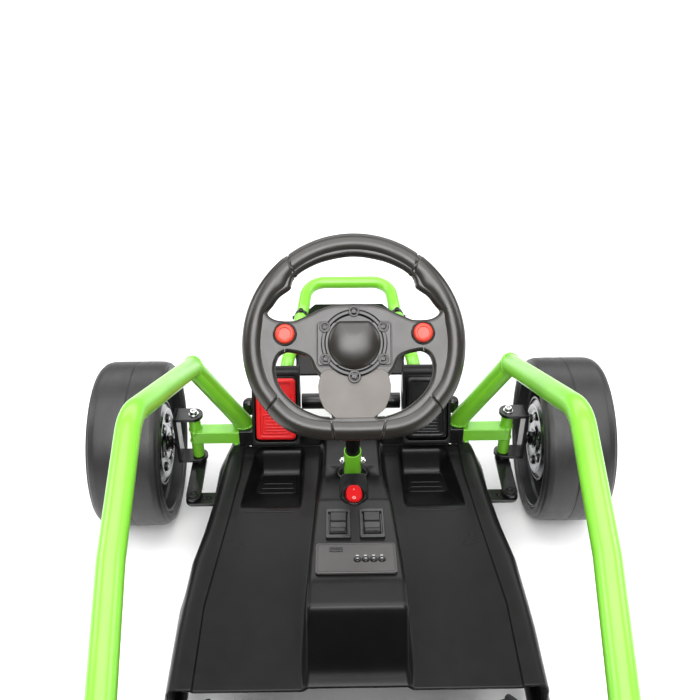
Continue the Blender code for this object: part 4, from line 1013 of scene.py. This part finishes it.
def pedals():
    lean = radians(60.0)
    length = 0.101
    lower = deck(-0.0283, BEAM_Z + BEAM_HALF + GAP)
    upper = lower + length * Vector((0, cos(lean), sin(lean)))
    out = Vector((0, -sin(lean), cos(lean)))
    rows = (
        # box, sign of x, pedal, finish
        ("pedal_box_left", -1, "brake_pedal", RED),
        ("pedal_box_right", 1, "throttle_pedal", DARK),
    )
    domes = Shape()
    for box, sign, pedal, finish in rows:
        face = frame_of((lower + upper) / 2 + sideways(sign * PEDAL_X), out)
        outside = box_line(0.065, length, 0.0045)
        hollow = box_line(0.056, length - 0.012, 0.006)
        plate(f"{box}_frame", [outside, hollow], -0.012, 0.0012, 0.0016, face, PAN, "chassis", [box])
        shell = Shape()
        side = [(lower.y + 0.0103, lower.z), (upper.y + 0.0102, upper.z - 0.006),
            (upper.y + 0.022, upper.z - 0.004), (upper.y + 0.022, upper.z - 0.045),
            (lower.y + 0.042, lower.z)]
        turn = Matrix(((0, 0, 1, 0), (1, 0, 0, 0), (0, 1, 0, 0), (0, 0, 0, 1)))
        middle = sign * PEDAL_X
        shell.prism(fillet(side, 0.004, 4), middle - 0.0318, middle + 0.0318, turn)
        shell.make(f"{box}_shell", PAN, bevel=0.0015)
        plate(f"{pedal}_pad", [box_line(0.053, length - 0.018, 0.0055)], 0.0, 0.0052, 0.0016, face,
            finish, "chassis", [pedal])
        rim = box_line(0.05, length - 0.021, 0.0045)
        inside = box_line(0.041, length - 0.03, 0.0035)
        plate(f"{pedal}_rim", [rim, inside], 0.004, 0.0073, 0.0012, face, finish)
        frame_line = box_line(0.037, 0.027, 0.003, (0, -0.02))
        hole = box_line(0.033, 0.023, 0.002, (0, -0.02))
        plate(f"{pedal}_panel", [frame_line, hole], 0.004, 0.0064, 0.0006, face, finish)
        ribs = Shape()
        for i in range(5):
            v = -0.0285 + 0.0043 * i
            rib(ribs, face @ Vector((-0.015, v, 0.0052)), face @ Vector((0.015, v, 0.0052)), 0.001)
        ribs.make(f"{pedal}_ribs", finish, sharp=60)
        dome = [(0, 0.0095), (0.005, 0.0082), (0.0088, 0.0048), (0.0098, 0), (0.0098, -0.012),
            (0, -0.012)]
        domes.turn(dome, [0, 0.01, 0.006, 0.001, 0, 0], frame_of((sign * 0.1425, 0.292, 0.154),
            (0, 0, 1)), 48, 5)
    domes.make("frame_domes", BLACK)
    cross = Shape().rod((-0.0687, 0.29, 0.16), (0.0687, 0.29, 0.16), 0.011, 0.0008)
    cross.make("pedal_cross_bar", BLACK, "chassis", ["pedal_cross_tube"])


def nose():
    slope = atan2(0.008, 0.1375)
    out = Vector((0, -sin(slope), cos(slope)))
    ahead = Vector((0, cos(slope), sin(slope)))
    base = frame_of(deck(0.215, 0.2) - out * (HOOP_R + GAP) + ahead * 0.028, out)
    half = [(0.053, 0), (0.0695, -0.024), (0.0785, -0.08), (0.0825, -0.11), (0.078, -0.14),
        (0.078, -0.17)]
    outline = half + mirrored(half)
    plate("nose_cover", [fillet(outline, 0.005, 5)], -0.004, 0.0, 0.0014, base, PAN, "chassis",
        ["nose_panel"])
    bolts, clamps = Shape(), Shape()
    for sign in (-1, 1):
        spot = deck(0.198, 0.199, sign * 0.0731)
        leg = deck(0.215, 0.2, sign * 0.0705) - deck(0.0775, 0.192, sign * HOOP_FOOT_X)
        leg.normalize()
        top = leg.cross(Vector((1, 0, 0))).normalized()
        top = top if top.z > 0 else -top
        bolt(bolts, spot + top * (HOOP_R + 0.0008), top, 0.0042, 0.003, 0.46, 0.5)
        band = fillet([(HOOP_R - 0.0004, -0.0036), (HOOP_R + 0.0007, -0.0036), (HOOP_R + 0.0007, 0.0036),
            (HOOP_R - 0.0004, 0.0036)], 0.0004, 3)
        clamps.ring(band, line_frame(spot, spot + leg), 56)
        for x in (-1, 1):
            away = spot + Vector((x * (HOOP_R + 0.0018), 0, -0.0015))
            clamps.rod(away - Vector((0, 0, 0.004)), away + Vector((0, 0, 0.0015)), 0.0024, 0.0007, 24)
    bolts.make("nose_bolts", BLACK)
    clamps.make("nose_clamps", BLACK)


# Console on the tunnel

def tunnel_frame(first, ahead):
    front, back = PAN_STATIONS[first], PAN_STATIONS[first + 1]
    rise = (back[2] - front[2]) / (front[0] - back[0])
    top = front[2] + (front[0] - ahead) * rise
    return frame_of(deck(ahead, top), (0, rise, 1))


def rocker(name, frame_at, width, height, low, finish, hides=(), dip=0.0018):
    """A rocker key: two slopes that meet in a shallow valley, with soft edges."""
    rows = []
    for i in range(25):
        v = height * (i / 24 - 0.5)
        lift = 0.0024 + dip * abs(2 * v / height + 0.12) - 0.0002
        lift *= pillow(height / 2 - abs(v), 0.0014, 0.35)
        row = []
        for k in range(21):
            u = width * (k / 20 - 0.5)
            rise = lift * pillow(width / 2 - abs(u), 0.0014, 0.35)
            row.append(frame_at @ Vector((u, v, low + rise)))
        rows.append(row)
    shape = Shape().grid(rows)
    shape.prism(box_line(width, height, 0.0004, steps=2), low - 0.001, low + 0.0006, frame_at)
    return shape.make(name, finish, "chassis", hides, sharp=50)


def console():
    slope = frame_of((0, 0.0861, 0.1763), (0, -0.2, 0.98))
    shoulders = [(-0.0172, -0.0178), (0.0172, -0.0178), (0.0172, 0.016), (0.015, 0.033), (-0.015, 0.033),
        (-0.0172, 0.016)]
    plate("switch_base", [fillet(shoulders, 0.006, 8)], -0.02, 0.003, 0.0016, slope, DARK)
    ring = [(0, 0.0012), (0.0158, 0.0012), (0.0158, 0.0048), (0.0138, 0.0072), (0.0118, 0.0072),
        (0.0108, 0.0056), (0, 0.0056)]
    collar = Shape().turn(ring, [0, 0, 0.0012, 0.001, 0.0006, 0.0003, 0], slope, 72, 5)
    collar.make("switch_ring", DARK, "chassis", ["power_housing"])
    low, key_half = 0.0056, 0.0116
    rows = []
    for i in range(25):
        v = key_half * (i / 12 - 1)
        half = 0.0095 * sqrt(max(0.0, 1 - (abs(v) / key_half) ** 2.6)) + 0.0004
        lift = 0.0034 + 0.0012 * abs(v / key_half + 0.15)
        lift *= pillow(key_half - abs(v), 0.0016, 0.3)
        row = []
        for k in range(17):
            u = half * (k / 8 - 1)
            rise = lift * pillow(half - abs(u), 0.0014, 0.3)
            row.append(slope @ Vector((u, v, low + rise)))
        rows.append(row)
    Shape().grid(rows).make("power_key", RED, "chassis", ["power_switch"], sharp=55)
    marks = Shape()
    marks.prism(box_line(0.0007, 0.0036, 0.0002, (0, 0.0062), 2), low + 0.002, low + 0.00418, slope)
    loop = [slope @ Vector((x, y - 0.0068, low + 0.00395)) for x, y in circle(0.0016, 28)]
    rows = []
    for i, point in enumerate(loop):
        along = (loop[(i + 1) % 28] - loop[i - 1]).normalized()
        up = slope.to_3x3() @ UP
        side = along.cross(up)
        rows.append([point + 0.0003 * (cos(TAU * k / 8) * side + sin(TAU * k / 8) * up)
            for k in range(8)])
    marks.torus(rows)

    level = tunnel_frame(7, -0.2142)
    for name, x, face_low in (("speed_switch", -0.019, 0.0085), ("direction_switch", 0.0195, 0.01)):
        spot = shift(level, x)
        plate(f"{name}_bezel", [box_line(0.028, 0.0485, 0.0015), box_line(0.0225, 0.0385, 0.001)], -0.001,
            0.0034, 0.0007, spot, DARK, "chassis", [name])
        plate(f"{name}_well", [box_line(0.0235, 0.0395, 0.001)], -0.001, 0.0012, 0.0003, spot, DARK)
        rocker(f"{name}_key", spot, 0.02, 0.034, 0.0012, DARK)
        plate(f"{name}_face", [box_line(0.0172, 0.0125, 0.0006, (0, 0.0088))], 0.002, 0.005, 0.0003,
            spot @ Matrix.Rotation(radians(4.0), 4, "X"), BLACK)
        low_face = box_line(0.0172, face_low, 0.0006, (0, -0.0005 - face_low / 2))
        plate(f"{name}_lower", [low_face], 0.0018, 0.0043, 0.0003,
            spot @ Matrix.Rotation(radians(-3.0), 4, "X"), BLACK)
    marks.make("switch_marks", MARK)

    panel = tunnel_frame(7, -0.2702)
    outline = box_line(0.088, 0.046, 0.004)
    plate("media_cover", [outline], GAP, 0.0035, 0.001, panel, GREY, "chassis", ["media_panel"])
    edge = [box_line(0.0845, 0.0425, 0.0032), box_line(0.0825, 0.0405, 0.0024)]
    plate("media_edge", edge, 0.003, 0.0041, 0.0004, panel, GREY)
    port = shift(panel, -0.0215, 0.012)
    plate("port_frame", [box_line(0.0145, 0.0068, 0.001), box_line(0.012, 0.0046, 0.0006)], 0.003, 0.0044,
        0.0004, port, DARK)
    slot = Shape().prism(box_line(0.0122, 0.0048, 0.0005), 0.003, 0.0037, port)
    slot.prism(box_line(0.009, 0.0012, 0.0003, (0, 0.0006)), 0.0036, 0.0041, port)
    slot.make("port_slot", DARK)
    keys, dots = Shape(), Shape()
    for i in range(4):
        u = 0.0015 + 0.0088 * i
        spot = shift(panel, u, -0.0035)
        keys.turn([(0, 0.0056), (0.003, 0.0053), (0.0036, 0.0045), (0.0036, 0.003)],
            [0, 0.004, 0.0006, 0], spot, 32)
        ring = fillet([(0.0036, 0.003), (0.0044, 0.003), (0.0044, 0.004), (0.0038, 0.004)], 0.0003, 3)
        keys.ring(ring, spot, 32)
        dots.prism(box_line(0.003, 0.0008, 0.0002, (0, 0.0062), 2), 0.003, 0.00362, spot)
        dots.prism(box_line(0.0022, 0.0006, 0.0002, (0, -0.0002), 2), 0.005, 0.00568, spot)
    keys.make("media_keys", DARK)
    dots.make("media_marks", MARK)


# Seat

SEAT_ROWS = (
    # y and z of the middle, half width, y and z of the side's top
    (-0.150, 0.1180, 0.150, -0.150, 0.130), (-0.165, 0.1160, 0.156, -0.163, 0.140),
    (-0.185, 0.1060, 0.160, -0.180, 0.148), (-0.215, 0.0983, 0.163, -0.205, 0.156),
    (-0.280, 0.0983, 0.165, -0.250, 0.170), (-0.327, 0.0983, 0.166, -0.285, 0.186),
    (-0.350, 0.1070, 0.167, -0.303, 0.200), (-0.370, 0.1240, 0.168, -0.316, 0.215),
    (-0.382, 0.1500, 0.170, -0.328, 0.233), (-0.396, 0.2000, 0.175, -0.346, 0.265),
    (-0.411, 0.2600, 0.180, -0.366, 0.305), (-0.427, 0.3200, 0.182, -0.389, 0.345),
    (-0.443, 0.3800, 0.178, -0.415, 0.392), (-0.456, 0.4280, 0.171, -0.436, 0.432),
    (-0.463, 0.4550, 0.161, -0.450, 0.457), (-0.468, 0.4750, 0.143, -0.462, 0.476),
    (-0.471, 0.4870, 0.119, -0.469, 0.4875), (-0.472, 0.4900, 0.085, -0.472, 0.4900),
)
SEAT_ACROSS = ((0, 0), (0.35, 0), (0.62, 0.02), (0.78, 0.1), (0.9, 0.32), (0.97, 0.64), (1, 1))


def seat():
    rows = []
    for y, z, half, top_y, top_z in SEAT_ROWS:
        low = Vector((0, y, z))
        rise = Vector((0, top_y, top_z)) - low
        right = [low + rise * up + sideways(half * out) for out, up in SEAT_ACROSS]
        rows.append(mirrored(right[1:]) + right)
    made = Shape().grid(rows).make("seat_moulding", SEAT, "chassis", ["seat_shell"], sharp=80)
    wall = made.modifiers.new("wall", "SOLIDIFY")
    wall.thickness = 0.005
    wall.offset = -1.0
    wall.use_even_offset = True
    fine = made.modifiers.new("fine", "SUBSURF")
    fine.levels = fine.render_levels = 3
    lip = [row[-1] for row in rows]
    path = [Vector((-p.x, p.y, p.z)) for p in lip] + rows[-1][1:-1] + list(reversed(lip))
    for _ in range(3):
        finer = [path[0]]
        for i in range(1, len(path) - 1):
            finer.append((path[i - 1] + path[i]) / 2)
            finer.append(path[i - 1] / 8 + path[i] * 0.75 + path[i + 1] / 8)
        path = [*finer, (path[-2] + path[-1]) / 2, path[-1]]
    rings = tube_rings(path, 0.0042, steps=14)
    Shape().capped(rings).make("seat_edge", SEAT, sharp=80)


# Wheels and drive

def wheel_frame(sign, y):
    """Z runs outwards from the tyre's inner face along the axle."""
    return frame_of((sign * TYRE_IN_X, y, AXLE_Z), (sign, 0, 0), (0, 1, 0))


def tyre(name, body, matrix):
    w = TYRE_WIDE
    line = [(0.0968, 0.004), (0.0985, 0.0012), (0.102, 0.0002), (0.1075, 0.0016), (0.1083, 0.0034),
        (0.1112, 0.0056), (0.1134, 0.0125), (0.1138, 0.024), (0.1137, w * 0.46), (0.1128, w * 0.47),
        (0.1128, w * 0.478), (0.1137, w * 0.488), (0.1138, w - 0.024), (0.1134, w - 0.0125),
        (0.1112, w - 0.0056), (0.1083, w - 0.0034), (0.1075, w - 0.0016), (0.102, w - 0.0002),
        (0.0985, w - 0.0012), (0.0968, w - 0.004), (0.096, w - 0.01), (0.096, 0.01)]
    bends = [0.001, 0.002, 0.003, 0.0006, 0.0012, 0.004, 0.012, 0.02, 0.0004, 0.0003, 0.0003, 0.0004,
        0.02, 0.012, 0.004, 0.0012, 0.0006, 0.003, 0.002, 0.001, 0, 0]
    line = fillet(line, bends, 4)
    Shape().ring(line, matrix, 160).make(f"{name}_slick", RUBBER, body, [f"{name}_tyre"], sharp=50)


def wheels():
    w, web, edge = TYRE_WIDE, 0.068, 0.0965
    for name, sign, y, bore in (("front_left", -1, FRONT_Y, 0.005), ("front_right", 1, FRONT_Y, 0.005),
            ("rear_left", -1, REAR_Y, 0.006), ("rear_right", 1, REAR_Y, 0.006)):
        body = f"{name}_wheel"
        matrix = wheel_frame(sign, y)
        tyre(name, body, matrix)
        rear = y == REAR_Y
        b = bore + GAP
        line = [(edge, 0.003), (edge, w - 0.003), (edge - 0.002, w - 0.0012), (edge - 0.005, w - 0.002),
            (edge - 0.0062, w - 0.0075), (edge - 0.01, web + 0.0125), (0.07, web + 0.0105),
            (0.056, web + 0.0075), (0.03, web + 0.0075), (0.027, web + 0.0095), (0.015, web + 0.0095),
            (b, web + 0.006), (b, 0.004 if rear else web), (0.0275, 0.004 if rear else web), (0.03, web),
            (edge - 0.0125, web), (edge - 0.011, 0.046), (edge - 0.0078, 0.043), (edge - 0.007, 0.022),
            (edge - 0.0048, 0.019), (edge - 0.0042, 0.006), (edge - 0.0024, 0.004),
            (edge - 0.002, 0.0012)]
        bends = [0.0006] * 4 + [0.002, 0.004, 0.006, 0.003, 0.003, 0.002, 0.001, 0, 0, 0.001, 0.004,
            0.005, 0.0015, 0.0015, 0.0012, 0.0012, 0.001, 0.0006, 0.0006]
        line = fillet(line, bends, 4)
        Shape().ring(line, matrix, 128).make(f"{name}_dish", RIM, body, [f"{name}_rim"], sharp=45)
        nuts = Shape()
        for x, v in circle(0.021, 5, start=0.3):
            at = matrix @ Vector((x, v, web + 0.0092))
            hexagon(nuts, at, (sign, 0, 0), 0.0072, 0.003)
        cap = rounded([(0, web + 0.0168), (0.008, web + 0.016), (0.0098, web + 0.0135),
            (0.01, web + 0.0085), (0, web + 0.0085)], [0, 0.01, 0.002, 0, 0], 5)
        nuts.lathe(cap, matrix, 48)
        nuts.make(f"{name}_nuts", STEEL, body)
        if not rear:
            hub(name, body, matrix, b, web)


def hub(name, body, matrix, b, web):
    """The bright stamped disc on the inner face, with its dark bolts and holes."""
    inside = web - GAP
    line = [(b, 0.006), (0.0125, 0.006), (0.014, 0.0085), (0.0215, 0.0085), (0.0255, 0.0112),
        (0.04, 0.0118), (0.044, 0.0095), (0.048, 0.0095), (0.051, 0.0118), (0.0545, 0.014),
        (0.0555, 0.016), (0.0555, 0.0185), (0.03, 0.026), (0.026, inside), (b, inside)]
    bends = [0, 0.001, 0.001, 0.001, 0.0015, 0.002, 0.001, 0.001, 0.001, 0.001, 0.0006, 0.0006, 0.001, 0,
        0]
    line = fillet(line, bends, 4)
    Shape().ring(line, matrix, 112).make(f"{name}_disc", CHROME, body, [f"{name}_hub"], sharp=45)
    dark, bright = Shape(), Shape()
    inwards = matrix.to_3x3() @ Vector((0, 0, -1))
    for x, y in circle(0.0335, 6, start=0.25):
        cup = rounded([(0, 0.0104), (0.0046, 0.0104), (0.0052, 0.0088), (0.0064, 0.0088),
            (0.0066, 0.012)], [0, 0.0003, 0.0003, 0.0004, 0])
        dark.lathe(cup, shift(matrix, x, y), 32)
        hexagon(bright, matrix @ Vector((x, y, 0.0106)), inwards, 0.0052, 0.0022)
    hexagon(dark, matrix @ Vector((0, 0, 0.006)), inwards, 0.017, 0.0046)
    ring = fillet([(0.0556, 0.012), (0.059, 0.0125), (0.06, 0.02), (0.0556, 0.02)], 0.0008, 4)
    dark.ring(ring, matrix, 96)
    dark.make(f"{name}_recesses", DARK, body, sharp=45)
    bright.make(f"{name}_bolts", STEEL, body)


def drive():
    axle = Shape().rod((-AXLE_END, REAR_Y, AXLE_Z), (AXLE_END, REAR_Y, AXLE_Z), 0.006, 0.0008)
    axle.make("axle_bar", STEEL, "chassis", ["rear_axle"])
    y, z = REAR_Y - 0.042, AXLE_Z - 0.0095
    for side, sign in SIDES:
        start, length = sign * 0.1757, 0.0837
        frame_at = line_frame((start, y, z), (sign * 0.092, y, z))
        line = rounded([(0, 0), (0.026, 0), (0.026, length - 0.006), (0.0235, length - 0.002),
            (0.012, length - 0.002), (0.011, length), (0, length)],
            [0, 0.0006, 0.002, 0.001, 0.001, 0.001, 0], 5)
        can = Shape().lathe(line, frame_at, 72)
        for i in range(14):
            turn = frame_at @ Matrix.Rotation(TAU * i / 14, 4, "Z")
            can.prism([(0.0255, -0.0009), (0.0268, -0.0007), (0.0268, 0.0007), (0.0255, 0.0009)], 0.012,
                length - 0.014, turn)
        can.make(f"motor_can_{side}", DARK, "chassis", [f"motor_{side}"])


def frame_bars():
    """The black floor tubes, round and smooth where the CAD ones are faceted."""
    for side, sign in SIDES:
        corners = [deck(0.095, RAIL_Z, sign * 0.16), deck(0.015, RAIL_Z, sign * 0.178),
            deck(-0.057, RAIL_Z, sign * 0.18), deck(-0.23, RAIL_Z, sign * BAR_FOOT_X),
            Vector((sign * BAR_FOOT_X, -0.5092, RAIL_Z))]
        tube(f"floor_tube_{side}", corners, (0.08, 0.08, 0.08), BAR_R, BLACK, "chassis",
            [f"floor_rail_{side}"])
    for name, node, y, reach in (("front_floor_bar", "front_cross_tube", HOOP_FOOT_Y, 0.148),
            ("battery_bar", "battery_cross_tube", -0.4455, 0.187),
            ("rear_floor_bar", "rear_cross_tube", REAR_TUBE_Y, 0.187)):
        Shape().rod((-reach, y, RAIL_Z), (reach, y, RAIL_Z), BAR_R).make(name, BLACK, "chassis", [node])


def soften_frame_nodes():
    """Rounds the sharp edges of the CAD nodes that stay in view."""
    for name in ("battery_box", "gearbox_left", "gearbox_right", "floor_cross_mid", "seat_cross_front",
            "seat_cross_rear", "column_stand"):
        soften(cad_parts[name], 0.0025 if name == "battery_box" else 0.0009, 40.0)


def battery_lid():
    lid = Shape().prism(box_line(0.1715, 0.0695, 0.006, (0, -0.4715)), 0.222, 0.2312)
    lid.make("battery_lid", DARK, bevel=0.0018)


# Floor, light and camera

def floor():
    mesh = bpy.data.meshes.new("floor")
    mesh.from_pydata([(-9, -9, 0), (9, -9, 0), (9, 9, 0), (-9, 9, 0)], [], [(0, 1, 2, 3)])
    made = bpy.data.objects.new("floor", mesh)
    SCENE.collection.objects.link(made)
    made.data.materials.append(surface("floor", (0.93, 0.93, 0.93), (0.95, 0.95, 0.95), 0.75, 0.05, 60.0,
        0.0001, patch=3.0, specular=0.2))


def area_light(name, at, aim, size, power):
    data = bpy.data.lights.new(name, "AREA")
    data.shape = "RECTANGLE"
    data.size, data.size_y = size
    data.energy = power
    made = bpy.data.objects.new(name, data)
    made.location = at
    made.rotation_euler = (Vector(aim) - Vector(at)).to_track_quat("-Z", "Y").to_euler()
    SCENE.collection.objects.link(made)


def light():
    world = bpy.data.worlds.new("studio")
    world.use_nodes = True
    back = world.node_tree.nodes["Background"]
    back.inputs["Color"].default_value = (1, 1, 1, 1)
    back.inputs["Strength"].default_value = 0.16
    SCENE.world = world
    area_light("overhead_light", (0, -0.1, 2.4), (0, -0.1, 0), (3.0, 2.0), 70.0)
    area_light("distant_light", (0, 4.9, 3.4), (0, 3.8, 0), (9.0, 3.0), 230.0)
    area_light("key_light", (0, -1.95, 2.35), (0, 0.1, 0.35), (2.2, 1.4), 84.0)
    for side, sign in SIDES:
        area_light(f"{side}_light", (sign * 2.4, 0.5, 1.5), (0, 0.1, 0.2), (1.2, 1.2), 22.0)


def camera():
    data = bpy.data.cameras.new("camera")
    data.sensor_width = 36.0
    data.lens = 850.0 / 700.0 * 36.0
    data.clip_start = 0.01
    made = bpy.data.objects.new("camera", data)
    turn = Matrix.Rotation(radians(-0.97), 4, "Z") @ Matrix.Rotation(radians(54.5), 4, "X")
    made.matrix_world = Matrix.Translation((-0.017, -0.639, 0.91)) @ turn
    SCENE.collection.objects.link(made)
    SCENE.camera = made


steering_wheel()
column()
side_bars()
hoops()
beam()
for side, sign in SIDES:
    knuckle(side, sign)
tie_rod()
floor_pan()
pedals()
nose()
console()
seat()
wheels()
drive()
frame_bars()
battery_lid()
soften_frame_nodes()
floor()
light()
camera()
SCENE.view_settings.view_transform = "Standard"
